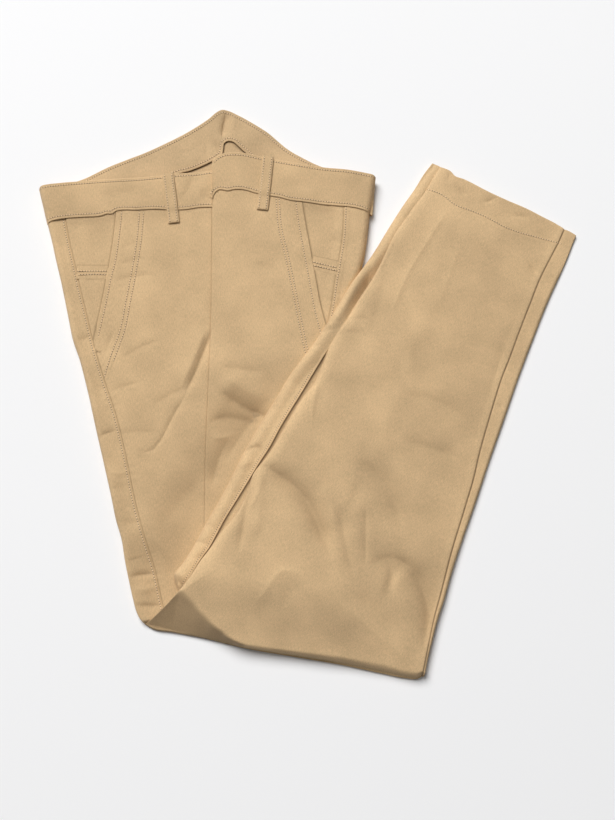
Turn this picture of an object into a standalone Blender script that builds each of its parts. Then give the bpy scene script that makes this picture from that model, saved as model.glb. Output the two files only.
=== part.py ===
"""Chino trousers, folded once across the thighs and laid on a table.

The waist is at the top left. Both legs are folded up along one line at the bottom, so that the hems
lie at the top right. Sizes below are millimetres: +X to the right, +Y towards the waist, +Z up, and
the mesh is written in metres. "Right" and "left" are the wearer's, so the right leg is at -X.

Every visible panel is a cloth wall cut out of one net of points, and the layers under them are one
solid made from the same points, so that nothing overlaps.
"""

import math

import bmesh
import bpy
import numpy as np
from mathutils.geometry import delaunay_2d_cdt

MM = 0.001

# ---- cloth ------------------------------------------------------------------------------------
CLOTH = 1.5  # wall of one panel: cloth with its hidden seam allowance
BAND_CLOTH = 2.4  # waistband: two layers and what is sewn between them
STRIP_CLOTH = 0.9
LOOP_CLOTH = 1.6
GAP = 0.3  # clear space between two pieces
SEAM_INSET = GAP / 2
LAYER_GAP = 0.8  # a panel to the layers under it
CORE_INSET = 0.6  # the layers under a panel end this far inside its edge

# ---- heights of the pile over the table ---------------------------------------------------------
HIP_HEIGHT = 14.0  # front and back of the seat, lying on each other
HIP_EDGE = 6.5
HIP_ROLL = 18.0  # width over which the folded side edge rounds down
FLY_LAP = 2.0  # the left front lies on the right front
LAP_LENGTH = 90.0  # and comes down again this far from its side edge
FACING_DROP = 1.0
BAND_RISE = 1.2
BAND_DIP = 4.0  # the front waistband's top edge lies lower than the seat
MOUTH_DEPTH = 62.0
BACK_BAND_LOW = 3.6
BACK_BAND_HIGH = 7.0
UNDER_LEG_EDGE = 2.2  # height of the under leg's rolled edge over what it lies on
UNDER_LEG_TOP = 10.0
UNDER_LEG_ON_TABLE = 3.4
UNDER_LEG_ROLL = 13.0
TOP_LEG_EDGE = 12.2
TOP_LEG_HEIGHT = 19.0
TOP_LEG_ROLL = 12.0
RIGHT_EDGE_DROP = 9.5
RIGHT_EDGE_SHARE = 0.6  # of what lies under the leg that its right edge comes down by
RIGHT_EDGE_ROLL = 13.0
HEM_DROP = 5.0
HEM_LENGTH = 70.0
FOLD_EDGE = 6.0
FOLD_ROLL = 30.0  # depth of the soft roll where both legs are folded up
CORNER_LIFT = 2.0  # the folded leg's edge over the thigh, at the fold's corner
CORNER_REACH = 130.0
PILE_MIDDLE = (-1.6, 32.6)  # the table place under the middle of the pile, which becomes the origin
UNDER_LEG_TAPER = 45.0  # length over which the under leg comes out of the fold
THIGH_SLOPE_START = -70.0  # the pile slopes down from the thighs to the table across this band
THIGH_SLOPE_LENGTH = 190.0

# ---- spacing of the net ---------------------------------------------------------------------------
EDGE_STEP = 13.0
NET_STEP = 19.0
RIM_ROWS = (4.0, 10.0)  # rows of points beside a rounded edge
ROLL_ROWS = (18.0, 27.0)  # further rows up the soft roll at the fold
CLEAR = 6.5  # loose points keep this far apart
CLEAR_OF_LINE = 3.2  # and this far from a seam or an edge
NET_CORNER = (-320.0, -310.0)
NET_SIZE = (36, 42)
SAME_POINT = 0.9  # points nearer than this become one

# ---- seat and thighs: one row for each height up the table ---------------------------------------
HIP_COLUMNS = ("y", "left_edge", "outseam", "fly", "right_seam", "right_edge")
HIP_ROWS = (
    (262, -317, -291, -112, 48, 79),
    (222, -306, -283, -111.5, 41, 71),
    (180, -294, -275, -110.5, 35, 66),
    (123, -278, -260, -110.5, 27.5, 58),
    (71, -263.5, -246, -111, 20, 58),
    (16, -247.5, -227, -112.5, 20, 66),
    (-25, -234, -214, -114, 24, 76),
    (-67, -224.5, -202, -115, 30, 86),
    (-112, -214, -192.5, -115.5, 38, 94),
    (-151, -204, -181, -115.5, 46, 102),
    (-195, -195.5, -168.5, -115.5, 52, 110),
    (-228, -189.5, -160.5, -115.5, 56, 117),
    (-262, -183, -154, -115.5, 60, 123),
)

# ---- waistband: one row for each place along it ---------------------------------------------------
BAND_COLUMNS = ("x", "band_bottom", "band_top")
BAND_RIGHT_ROWS = (
    (-317, 222, 264.5),
    (-306, 222, 266),
    (-290, 226, 268.5),
    (-245, 230, 272),
    (-223, 235, 273),
    (-198, 236, 275),
    (-168, 237, 278.5),
    (-140, 239, 284.5),
    (-111.5, 241, 292),
)
BAND_LEFT_ROWS = (
    (-111.5, 248, 301.5),
    (-98, 258, 306),
    (-80, 259, 307.5),
    (-54, 253, 303),
    (-33, 250, 296.5),
    (-9, 247, 292),
    (15, 244, 288),
    (50, 239, 285),
    (79, 235, 280.5),
)
BACK_COLUMNS = ("x", "back_edge")
BACK_ROWS = (
    (-300, 269.5),
    (-265, 276.5),
    (-241, 289),
    (-200, 311),
    (-153, 333),
    (-128, 349),
    (-111, 362.5),
    (-101, 367.5),
    (-86, 363.5),
    (-65, 351.5),
    (-45, 336.5),
    (-25, 317.5),
    (-7, 306),
    (17, 295.5),
    (45, 288.5),
    (62, 286),
)

# ---- slanted pockets: the mouth's edge, one row for each height -----------------------------------
POCKET_COLUMNS = ("y", "right_mouth", "left_mouth")
POCKET_ROWS = (
    (262, -221, -10),
    (235, -223.5, -5),
    (196, -228, -0.5),
    (156, -233.5, 6.5),
    (125, -241, 13),
    (98, -249, 19),
    (74, -252.5, 24),
)
POCKET_BOTTOM = 74.0
STRIP_TOP = 173.0
STRIP_BOTTOM = 156.0
STRIP_CLEAR = 1.5

# ---- folded legs: distance along the leg from the fold, then offsets across it ---------------------
FOLD_MIDDLE = np.array((-26.0, -273.0))
LEG_ANGLE = math.radians(63.9)  # of the leg's length to +X
ALONG = np.array((math.cos(LEG_ANGLE), math.sin(LEG_ANGLE)))
ACROSS = np.array((math.sin(LEG_ANGLE), -math.cos(LEG_ANGLE)))
LEG_COLUMNS = ("along", "under_edge", "leg_edge", "inseam", "leg_right")
LEG_ROWS = (
    (-48, -147, -153, 152, 152),
    (-28, -147, -143, 151, 151.5),
    (0, -146.5, -135, 148, 150.5),
    (40, -145.5, -130.5, 144, 149.5),
    (80, -144, -122.5, 138, 143),
    (120, -142, -112, 132, 135.5),
    (160, -139.5, -114.5, 126, 129.5),
    (200, -136.5, -114.3, 119, 123.5),
    (240, -133.5, -112, 112.5, 119.5),
    (320, -126, -106, 101, 113),
    (400, -114, -99, 95, 107.5),
    (480, -104.7, -94, 90, 103),
    (560, -95, -91.7, 85, 95.5),
    (600, -92, -91, 83, 92.5),
)
FOLD_COLUMNS = ("across", "fold")
FOLD_ROWS = (
    (-170, -24),
    (-167, -31.8),
    (-161, -37.6),
    (-150, -41.3),
    (-120, -34.5),
    (-86, -27),
    (-42, -16.5),
    (8, -1),
    (67, 15.5),
    (109, 28),
    (140, 36),
    (149, 42),
    (152, 52),
)
HEM_COLUMNS = ("across", "hem")
HEM_ROWS = (
    (-96, 587.5),
    (-70, 589),
    (-61, 586),
    (-17, 583.5),
    (34, 582),
    (96, 581),
)
UNDER_LEG_START = 21.0

# ---- belt loops -----------------------------------------------------------------------------------
LOOP_COLUMNS = ("name", "top_x", "top_y", "bottom_x", "bottom_y")
LOOP_ROWS = (
    ("belt_loop_right", -163.5, 281.5, -156.0, 221.5),
    ("belt_loop_left", -46.5, 302.5, -52.5, 238.5),
)
LOOP_WIDTH = 13.0
LOOP_ARCH = 1.0
LOOP_STATIONS = 7

# ---- largest folds: a bent line from start through bend to end --------------------------------------
FOLD_MARK_COLUMNS = ("zone", "start", "bend", "end", "width", "rise")
FOLD_MARKS = (
    ("leg", (-54, -76), (-2, -92), (24, -160), 11.0, -3.2),
    ("leg", (-46, -92), (-14, -118), (4, -172), 10.0, 1.8),
    ("leg", (-90, -238), (-62, -196), (-19, -192), 11.0, 2.0),
    ("leg", (33, -123), (46, -165), (60, -214), 11.0, -2.0),
    ("leg", (76, -170), (126, -178), (128, -258), 12.0, -2.6),
    ("leg", (51, -70), (84, -84), (94, -122), 14.0, -1.6),
    ("leg", (170, 240), (122, 170), (75, 50), 9.0, 0.8),
    ("hip", (-112, 88), (-136, 30), (-171, -41), 9.0, -1.8),
    ("hip", (-100, -9), (-74, 4), (-46, -7), 12.0, -1.8),
)

COTTON = (0.56, 0.41, 0.24, 1.0)
COTTON_INSIDE = (0.44, 0.32, 0.19, 1.0)


def smooth_line(points, step):
    """A soft curve through the points, with a point about every step millimetres."""
    points = np.array(points, float)
    padded = np.vstack((2 * points[0] - points[1], points, 2 * points[-1] - points[-2]))
    line = [points[0]]
    for before, start, end, after in zip(padded, padded[1:], padded[2:], padded[3:]):
        pieces = max(1, round(np.linalg.norm(end - start) / step))
        for k in range(1, pieces + 1):
            t = k / pieces
            bend_in = (end - before) / 2
            bend_out = (after - start) / 2
            line.append(
                (2 * t**3 - 3 * t**2 + 1) * start
                + (t**3 - 2 * t**2 + t) * bend_in
                + (3 * t**2 - 2 * t**3) * end
                + (t**3 - t**2) * bend_out
            )
    return np.array(line)


def column(rows, names, wanted, step=EDGE_STEP):
    """One column of a table as a smooth line of (key, value) points."""
    place = names.index(wanted)
    return smooth_line([(row[0], row[place]) for row in rows], step)


def read(line, key):
    """The value of a line at this key, along its straight pieces."""
    if line[0, 0] > line[-1, 0]:
        line = line[::-1]
    return float(np.interp(key, line[:, 0], line[:, 1]))


HIP = {name: column(HIP_ROWS, HIP_COLUMNS, name) for name in HIP_COLUMNS[1:]}
RIGHT_BAND = {name: column(BAND_RIGHT_ROWS, BAND_COLUMNS, name) for name in BAND_COLUMNS[1:]}
LEFT_BAND = {name: column(BAND_LEFT_ROWS, BAND_COLUMNS, name) for name in BAND_COLUMNS[1:]}
BACK_EDGE = column(BACK_ROWS, BACK_COLUMNS, "back_edge")
POCKET = {name: column(POCKET_ROWS, POCKET_COLUMNS, name) for name in POCKET_COLUMNS[1:]}
LEG = {name: column(LEG_ROWS, LEG_COLUMNS, name) for name in LEG_COLUMNS[1:]}
FOLD = column(FOLD_ROWS, FOLD_COLUMNS, "fold")
HEM = column(HEM_ROWS, HEM_COLUMNS, "hem")
FLY_X = HIP_ROWS[1][HIP_COLUMNS.index("fly")]


def to_leg(x, y):
    """Table place to (distance along the leg, offset across it)."""
    offset = np.array((x, y)) - FOLD_MIDDLE
    return float(offset @ ALONG), float(offset @ ACROSS)


def from_leg(along, across):
    return FOLD_MIDDLE + along * ALONG + across * ACROSS


def band_bottom(x):
    return read(RIGHT_BAND["band_bottom"] if x < FLY_X else LEFT_BAND["band_bottom"], x)


def band_top(x):
    return read(RIGHT_BAND["band_top"] if x < FLY_X else LEFT_BAND["band_top"], x)


def piece_at(x, y):
    """The name of the piece that shows at this place, or None off the garment."""
    along, across = to_leg(x, y)
    in_leg_length = read(FOLD, across) < along < read(HEM, across)
    if in_leg_length and read(LEG["leg_edge"], along) < across < read(LEG["leg_right"], along):
        return "right_leg_back" if across < read(LEG["inseam"], along) else "right_leg_front"
    if UNDER_LEG_START < along < read(HEM, across):
        if read(LEG["under_edge"], along) < across <= read(LEG["leg_edge"], along):
            return "left_leg_back"
    if not read(HIP["left_edge"], y) < x < read(HIP["right_edge"], y) and y < band_bottom(x):
        return None
    if y < band_bottom(x):
        return seat_piece_at(x, y) if along > read(FOLD, across) else None
    in_band = read(HIP["left_edge"], y) < x < read(HIP["right_edge"], y)
    if in_band and y < band_top(x):
        return "waistband_right_front" if x < FLY_X else "waistband_left_front"
    if BACK_EDGE[0, 0] < x < BACK_EDGE[-1, 0] and band_top(x) < y < read(BACK_EDGE, x):
        return "waistband_back"
    return None


def seat_piece_at(x, y):
    in_pocket = y > POCKET_BOTTOM
    if x < read(HIP["outseam"], y):
        return "right_back"
    if x < read(HIP["fly"], y):
        on_front = not in_pocket or x > read(POCKET["right_mouth"], y)
        return "right_front" if on_front else "pocket_facing_right"
    if x < read(HIP["right_seam"], y):
        on_front = not in_pocket or x < read(POCKET["left_mouth"], y)
        return "left_front" if on_front else "pocket_facing_left"
    return "left_back"


def round_over(distance, width):
    """0 at an edge, 1 once width inside it, along a quarter of an ellipse."""
    t = min(max(distance / width, 0.0), 1.0)
    return math.sqrt(1 - (1 - t) ** 2)


def ease(t):
    t = min(max(t, 0.0), 1.0)
    return t * t * (3 - 2 * t)


def fold_lines(zone):
    """Each large fold of this zone as (points, width, rise)."""
    found = []
    for name, start, bend, end, width, rise in FOLD_MARKS:
        if name == zone:
            found.append((smooth_line((start, bend, end), 8.0), width, rise))
    return found


HIP_FOLDS = fold_lines("hip")
LEG_FOLDS = fold_lines("leg")


def folds_height(folds, x, y):
    height = 0.0
    for line, width, rise in folds:
        away = np.hypot(line[:, 0] - x, line[:, 1] - y)
        nearest = int(away.argmin())
        fade = math.sin(math.pi * (nearest + 1) / (len(line) + 1))
        height += rise * fade * math.exp(-((away[nearest] / width) ** 2))
    return height


def seat_height(x, y):
    """Top of the seat and thighs, without the lap at the fly."""
    left = x - read(HIP["left_edge"], y)
    right = read(HIP["right_edge"], y) - x
    height = HIP_EDGE + (HIP_HEIGHT - HIP_EDGE) * round_over(min(left, right), HIP_ROLL)
    mouth = ease((y - band_top(x) + MOUTH_DEPTH) / MOUTH_DEPTH)
    return height - BAND_DIP * mouth * round_over(min(left, right), HIP_ROLL)


def under_legs(x, y):
    """Height that the legs lie on: the thighs, then the table to their right."""
    inside = read(HIP["right_edge"], y) - x
    return HIP_HEIGHT * ease((inside - THIGH_SLOPE_START) / THIGH_SLOPE_LENGTH)


def leg_height(x, y):
    along, across = to_leg(x, y)
    from_left = across - read(LEG["leg_edge"], along)
    from_right = read(LEG["leg_right"], along) - across
    from_fold = along - read(FOLD, across)
    from_hem = read(HEM, across) - along
    base = under_legs(x, y)
    corner = ease(1 - from_fold / CORNER_REACH)
    below = max(base, seat_height(x, y) if is_on_seat(x, y) else 0.0)
    left_edge = below + TOP_LEG_EDGE * (1 - corner) + CORNER_LIFT * corner
    top = base + TOP_LEG_HEIGHT
    left_roll = TOP_LEG_ROLL + (FOLD_ROLL - TOP_LEG_ROLL) * corner
    drop = max(
        (top - left_edge) * (1 - round_over(from_left, left_roll)),
        (RIGHT_EDGE_DROP + base * RIGHT_EDGE_SHARE) * (1 - round_over(from_right, RIGHT_EDGE_ROLL)),
        (top - FOLD_EDGE) * (1 - round_over(from_fold, FOLD_ROLL)),
    )
    hem = HEM_DROP * ease(1 - from_hem / HEM_LENGTH)
    calm = ease(from_fold / FOLD_ROLL) * ease(min(from_left, from_right) / TOP_LEG_ROLL)
    return top - drop - hem + folds_height(LEG_FOLDS, x, y) * calm


def under_leg_height(x, y):
    along, across = to_leg(x, y)
    inside = across - read(LEG["under_edge"], along)
    base = max(under_legs(x, y), seat_height(x, y) if is_on_seat(x, y) else UNDER_LEG_ON_TABLE)
    hem = HEM_DROP * ease(1 - (read(HEM, across) - along) / HEM_LENGTH)
    taper = ease((along - UNDER_LEG_START + 4.0) / UNDER_LEG_TAPER)
    rise = UNDER_LEG_EDGE + (UNDER_LEG_TOP - UNDER_LEG_EDGE) * round_over(inside, UNDER_LEG_ROLL) * taper
    return base + rise - min(hem, rise - UNDER_LEG_EDGE)


def is_on_seat(x, y):
    return read(HIP["left_edge"], y) < x < read(HIP["right_edge"], y) and y < band_bottom(x)


def top_height(piece, x, y):
    """Height over the table of this piece's outer face."""
    if piece in ("right_leg_back", "right_leg_front"):
        return leg_height(x, y)
    if piece == "left_leg_back":
        return under_leg_height(x, y)
    if piece == "waistband_back":
        across_band = (y - band_top(x)) / max(read(BACK_EDGE, x) - band_top(x), 1.0)
        return BACK_BAND_LOW + (BACK_BAND_HIGH - BACK_BAND_LOW) * ease(1 - across_band)
    height = seat_height(x, y) + folds_height(HIP_FOLDS, x, y)
    if piece in ("left_front", "waistband_left_front", "pocket_facing_left"):
        height += FLY_LAP * ease((read(HIP["right_edge"], y) - x) / LAP_LENGTH)
    if piece.startswith("pocket_facing"):
        return height - FACING_DROP
    if piece.startswith("waistband"):
        return height + BAND_RISE
    return height


def cloth_of(piece):
    return BAND_CLOTH if piece.startswith("waistband") else CLOTH


# ---- the net of points ------------------------------------------------------------------------------


def drawn_lines():
    """Every seam and edge as a line on the table."""
    lines = []
    for line in (*HIP.values(), *POCKET.values()):
        lines.append(line[:, ::-1])
    for band in (RIGHT_BAND, LEFT_BAND):
        lines += [band["band_bottom"], band["band_top"]]
    lines.append(BACK_EDGE)
    for place in (0, -1):
        end = BACK_EDGE[place]
        lines.append(np.array(((end[0], band_top(end[0])), end)))
    fly_top = (FLY_X, LEFT_BAND["band_top"][0, 1])
    lines.append(smooth_line(((FLY_X, RIGHT_BAND["band_bottom"][-1, 1]), fly_top), EDGE_STEP))
    for name in ("right_mouth", "left_mouth"):
        seam = HIP["outseam"] if name == "right_mouth" else HIP["right_seam"]
        mouth_end = (read(POCKET[name], POCKET_BOTTOM), POCKET_BOTTOM)
        lines.append(np.array((mouth_end, (read(seam, POCKET_BOTTOM), POCKET_BOTTOM))))
    for line in LEG.values():
        lines.append(np.array([from_leg(*point) for point in line]))
    for line in (FOLD, HEM):
        lines.append(np.array([from_leg(along, across) for across, along in line]))
    start_edges = [read(LEG[name], UNDER_LEG_START) for name in ("under_edge", "leg_edge")]
    lines.append(np.array([from_leg(UNDER_LEG_START, across) for across in start_edges]))
    return lines


def beside(line, distance):
    """A line's points moved sideways."""
    tangent = np.gradient(line, axis=0)
    tangent /= np.linalg.norm(tangent, axis=1)[:, None]
    return line + distance * np.column_stack((tangent[:, 1], -tangent[:, 0]))


def loose_points(lines):
    """Points between the lines: rows beside the rounded edges and the folds, then an even net."""
    wanted = []
    rounded = [HIP[name][:, ::-1] for name in ("left_edge", "right_edge")]
    for name in ("under_edge", "leg_edge", "leg_right"):
        rounded.append(np.array([from_leg(*point) for point in LEG[name]]))
    rounded.append(np.array([from_leg(along, across) for across, along in FOLD]))
    for line in rounded:
        for row in RIM_ROWS:
            wanted += [*beside(line, row), *beside(line, -row)]
    for row in ROLL_ROWS:
        wanted += [from_leg(along + row, across) for across, along in FOLD]
    for line, width, _ in HIP_FOLDS + LEG_FOLDS:
        wanted += [*line[::2], *beside(line, width)[::2], *beside(line, -width)[::2]]
    row_height = NET_STEP * math.sqrt(3) / 2
    for row in range(NET_SIZE[1]):
        for place in range(NET_SIZE[0]):
            x = NET_CORNER[0] + NET_STEP * (place + 0.5 * (row % 2))
            wanted.append(np.array((x, NET_CORNER[1] + row * row_height)))
    fixed = np.vstack(lines)
    kept = []
    for point in wanted:
        near_lines = np.hypot(*(fixed - point).T).min()
        near_kept = min((math.dist(point, other) for other in kept), default=NET_STEP)
        apart = CLEAR_OF_LINE if near_lines < CLEAR else CLEAR
        if piece_at(*point) and near_lines > CLEAR_OF_LINE and near_kept > apart:
            kept.append(point)
    return kept


def make_net():
    """The garment's plan in triangles: its points, and its triangles by piece."""
    lines = drawn_lines()
    points = []
    edges = []
    for line in lines:
        first = len(points)
        points += [tuple(point) for point in line]
        edges += [(first + k, first + k + 1) for k in range(len(line) - 1)]
    points += [tuple(point) for point in loose_points(lines)]
    net = delaunay_2d_cdt([tuple(map(float, p)) for p in points], edges, [], 0, SAME_POINT, False)
    plan = np.array([tuple(p) for p in net[0]])
    pieces = {}
    for triangle in net[2]:
        middle = plan[list(triangle)].mean(axis=0)
        name = piece_at(*middle)
        if name:
            pieces.setdefault(name, []).append(list(triangle))
    return plan, pieces


def rim_loops(triangles):
    """The border of some triangles as closed loops of point numbers, with the cloth on the left."""
    following = {}
    sides = {(a, b) for tri in triangles for a, b in zip(tri, tri[1:] + tri[:1])}
    for a, b in sides:
        if (b, a) not in sides:
            following[a] = b
    loops = []
    while following:
        start = next(iter(following))
        loop = [start]
        while loop[-1] in following:
            loop.append(following.pop(loop[-1]))
        loops.append(loop[:-1])
    return loops


def inward(plan, loop, distance):
    """The loop's points moved towards the cloth."""
    ring = plan[loop]
    ahead = np.roll(ring, -1, axis=0) - ring
    behind = ring - np.roll(ring, 1, axis=0)
    ahead /= np.linalg.norm(ahead, axis=1)[:, None]
    behind /= np.linalg.norm(behind, axis=1)[:, None]
    along = ahead + behind
    along /= np.maximum(np.linalg.norm(along, axis=1)[:, None], 1e-6)
    return ring + distance * np.column_stack((-along[:, 1], along[:, 0]))


# ---- solids -------------------------------------------------------------------------------------------


def new_piece(name, mesh_builder, colour):
    mesh = bpy.data.meshes.new(name)
    mesh_builder.to_mesh(mesh)
    mesh_builder.free()
    mesh.shade_smooth()
    mesh.set_sharp_from_angle(angle=math.radians(50))
    material = bpy.data.materials.new(name + "_cloth")
    material.use_nodes = True
    shader = material.node_tree.nodes["Principled BSDF"]
    shader.inputs["Base Color"].default_value = colour
    shader.inputs["Roughness"].default_value = 0.9
    shader.inputs["Metallic"].default_value = 0.0
    mesh.materials.append(material)
    piece = bpy.data.objects.new(name, mesh)
    piece.location = (-PILE_MIDDLE[0] * MM, -PILE_MIDDLE[1] * MM, 0.0)
    bpy.context.scene.collection.objects.link(piece)
    return piece


def cloth_wall(name, plan, triangles):
    """A panel: its outer face on the net, its inner face one cloth lower, joined round the rim."""
    place = {point: plan[point] for tri in triangles for point in tri}
    loops = rim_loops(triangles)
    for loop in loops:
        place.update(zip(loop, inward(plan, loop, SEAM_INSET)))
    builder = bmesh.new()
    outer = {}
    inner = {}
    for point, (x, y) in place.items():
        top = top_height(name, *plan[point])
        outer[point] = builder.verts.new((x * MM, y * MM, top * MM))
        inner[point] = builder.verts.new((x * MM, y * MM, (top - cloth_of(name)) * MM))
    for tri in triangles:
        builder.faces.new([outer[point] for point in tri])
        builder.faces.new([inner[point] for point in reversed(tri)])
    for loop in loops:
        for a, b in zip(loop, loop[1:] + loop[:1]):
            builder.faces.new((outer[b], outer[a], inner[a], inner[b]))
    new_piece(name, builder, COTTON)


# Rows down the side of the pile: share of the height, then how far in from the outermost line.
LAYER_COLUMNS = ("share", "inset")
LAYER_ROWS = (
    (0.80, 0.0),
    (0.55, 0.3),
    (0.47, 1.6),
    (0.39, 0.3),
    (0.14, 0.0),
    (0.0, 1.2),
)


def hidden_layers(plan, pieces):
    """All cloth that other cloth covers, as one solid with a flat base and a groove between layers."""
    ceiling = {}
    triangles = []
    for name, own in pieces.items():
        triangles += own
        for point in {point for tri in own for point in tri}:
            height = top_height(name, *plan[point]) - cloth_of(name) - LAYER_GAP
            ceiling[point] = min(height, ceiling.get(point, height))
    loop = max(rim_loops(triangles), key=len)
    place = {point: plan[point] for point in ceiling}
    place.update(zip(loop, inward(plan, loop, CORE_INSET)))
    builder = bmesh.new()
    top = {p: builder.verts.new((x * MM, y * MM, ceiling[p] * MM)) for p, (x, y) in place.items()}
    for tri in triangles:
        builder.faces.new([top[point] for point in tri])
    above = [top[point] for point in loop]
    for share, inset in LAYER_ROWS:
        ring = []
        for point, (x, y) in zip(loop, inward(plan, loop, inset + CORE_INSET)):
            ring.append(builder.verts.new((x * MM, y * MM, ceiling[point] * share * MM)))
        for k in range(len(ring)):
            builder.faces.new((above[k], ring[k], ring[(k + 1) % len(ring)], above[(k + 1) % len(ring)]))
        above = ring
    builder.faces.new(list(reversed(above)))
    new_piece("hidden_layers", builder, COTTON_INSIDE)


def strip_solid(name, rows, thickness, colour=COTTON):
    """A narrow strip of cloth from rows of (left point, right point), each (x, y, lower height)."""
    builder = bmesh.new()
    rings = []
    for left, right in rows:
        corners = (left, right, (*right[:2], right[2] + thickness), (*left[:2], left[2] + thickness))
        rings.append([builder.verts.new([value * MM for value in corner]) for corner in corners])
    for before, after in zip(rings, rings[1:]):
        for k in range(4):
            builder.faces.new((before[k], before[(k + 1) % 4], after[(k + 1) % 4], after[k]))
    builder.faces.new(list(reversed(rings[0])))
    builder.faces.new(rings[-1])
    bmesh.ops.recalc_face_normals(builder, faces=builder.faces)
    new_piece(name, builder, colour)


def belt_loop(name, top_x, top_y, bottom_x, bottom_y):
    """A folded strip over the waistband, sewn down at both ends and a little arched between."""
    start = np.array((top_x, top_y))
    end = np.array((bottom_x, bottom_y))
    down = (end - start) / np.linalg.norm(end - start)
    side = np.array((-down[1], down[0])) * LOOP_WIDTH / 2
    band = "waistband_right_front" if top_x < FLY_X else "waistband_left_front"
    rows = []
    for k in range(LOOP_STATIONS):
        t = k / (LOOP_STATIONS - 1)
        middle = start + t * (end - start)
        seat = top_height(band, middle[0], min(middle[1], band_top(middle[0]) - 1.0))
        lower = seat + 2 * GAP + LOOP_ARCH * math.sin(math.pi * t)
        rows.append(((*(middle - side), lower), (*(middle + side), lower)))
    strip_solid(name, rows, LOOP_CLOTH)


def facing_strip(name, seam, mouth, facing):
    """The strip that is sewn across a pocket facing."""
    rows = []
    for y in np.linspace(STRIP_BOTTOM, STRIP_TOP, 3):
        left, right = sorted((read(seam, y), read(mouth, y)))
        ends = (left + STRIP_CLEAR, right - STRIP_CLEAR)
        ends = [(x, y, top_height(facing, x, y) + 2 * GAP) for x in ends]
        rows.append(ends)
    strip_solid(name, rows, STRIP_CLOTH)


def clear_scene():
    for old in list(bpy.data.objects):
        bpy.data.objects.remove(old, do_unlink=True)


def build():
    clear_scene()
    plan, pieces = make_net()
    hidden_layers(plan, pieces)
    for name, triangles in pieces.items():
        cloth_wall(name, plan, triangles)
    facing_strip("facing_strip_right", HIP["outseam"], POCKET["right_mouth"], "pocket_facing_right")
    facing_strip("facing_strip_left", HIP["right_seam"], POCKET["left_mouth"], "pocket_facing_left")
    for row in LOOP_ROWS:
        belt_loop(*row)


build()
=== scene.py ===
# %% [markdown]
# # Chino trousers, folded once and laid on a table
# This lesson dresses a plain construction model with cloth. The construction model comes first: it is
# loaded as a fixed frame, and every piece made here lies where that frame says. Nothing in it is moved.

# %% Load the frame
import math

import bmesh
import bpy
import numpy as np
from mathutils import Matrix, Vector


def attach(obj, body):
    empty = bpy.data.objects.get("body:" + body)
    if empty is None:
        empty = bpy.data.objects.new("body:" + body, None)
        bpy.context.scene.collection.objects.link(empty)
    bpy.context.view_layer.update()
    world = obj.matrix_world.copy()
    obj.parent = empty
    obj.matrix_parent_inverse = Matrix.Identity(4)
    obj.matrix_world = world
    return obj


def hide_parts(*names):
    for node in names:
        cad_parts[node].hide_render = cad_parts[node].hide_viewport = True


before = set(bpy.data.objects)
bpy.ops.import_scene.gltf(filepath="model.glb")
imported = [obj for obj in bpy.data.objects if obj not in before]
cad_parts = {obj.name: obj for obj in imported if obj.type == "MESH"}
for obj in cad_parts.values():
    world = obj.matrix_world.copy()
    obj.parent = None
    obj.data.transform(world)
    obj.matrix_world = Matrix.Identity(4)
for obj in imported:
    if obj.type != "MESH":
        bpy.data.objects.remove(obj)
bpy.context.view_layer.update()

print("nodes in the frame:", len(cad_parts))

# %% [markdown]
# ## Sizes
# A tailor measures on the table, so this script does too: millimetres, +X to the right, +Y towards the
# waist. Only the last step of each piece turns them into Blender's metres and moves them so that the
# middle of the pile is the origin. "Right" and "left" are the wearer's, so the right leg lies at -X.

# %% Sizes on the table
MM = 0.001
PILE_MIDDLE = (-1.6, 32.6)
HIP_TOP = 14.0  # height of the seat: front and back on each other
HIP_EDGE = 7.5
HIP_ROLL = 7.0
TIP_LINE = -170.0  # below this y the seat narrows to the folded leg's tip
TIP_CLEAR = 1.6
TIP_RISE = 0.9
PRESS = 9.0  # how far the seat sinks beside the folded legs
PRESS_WIDTH = 72.0
PRESS_START = 64.0
PRESS_LENGTH = 70.0
LAP = 2.4  # the left front lies on the right one at the fly
LAP_LENGTH = 90.0
FACING_DROP = 1.0
BAND_RISE = 1.4
BAND_DIP = -3.2  # the seat stands higher towards the open waistband
MOUTH_LENGTH = 62.0
HIP_FALL = 3.0  # the thighs lie lower towards the fold
FALL_START = 60.0
FALL_LENGTH = 260.0
BACK_BAND_LOW = 5.2
BACK_BAND_HIGH = 6.8
UNDER_LEG_TOP = 10.0
UNDER_LEG_EDGE = 2.2
UNDER_LEG_ROLL = 13.0
UNDER_LEG_SLACK = 0.4
THIGH_SPILL = 20.0  # the legs rest on the thighs a little past their edge
THIGH_SLOPE = 36.0
TOP_LEG_TOP = 19.0
TOP_LEG_EDGE = 12.2
TOP_LEG_ROLL = 12.0
TOP_LEG_LENGTH = 585.0
UNDER_LEG_LENGTH = 588.0
HEM_THINNER = 3.0
THIN_START = 280.0
THIN_LENGTH = 240.0
RIGHT_TILT_WIDTH = 122.0
HEM_DROP = 5.0
HEM_LENGTH = 70.0
FOLD_EDGE = 7.0
FOLD_SAG_LENGTH = 75.0
CORNER_REACH = 130.0
CORNER_LIFT = 15.0
CORNER_ROLL = 16.0
LEG_LOWEST = 3.6
LEG_SLACK = 0.65
EDGE_TURN = 2.0  # the cloth's own turn at the top leg's right edge
EDGE_TURN_WIDTH = 2.5
FACE_BLEND = 4.0
SLOPE_START = -70.0
SLOPE_LENGTH = 190.0
FINE = 1.25  # spacing of a panel's points
print("heights: seat", HIP_TOP, "mm, top leg", TOP_LEG_TOP, "mm above what it lies on")
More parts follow.
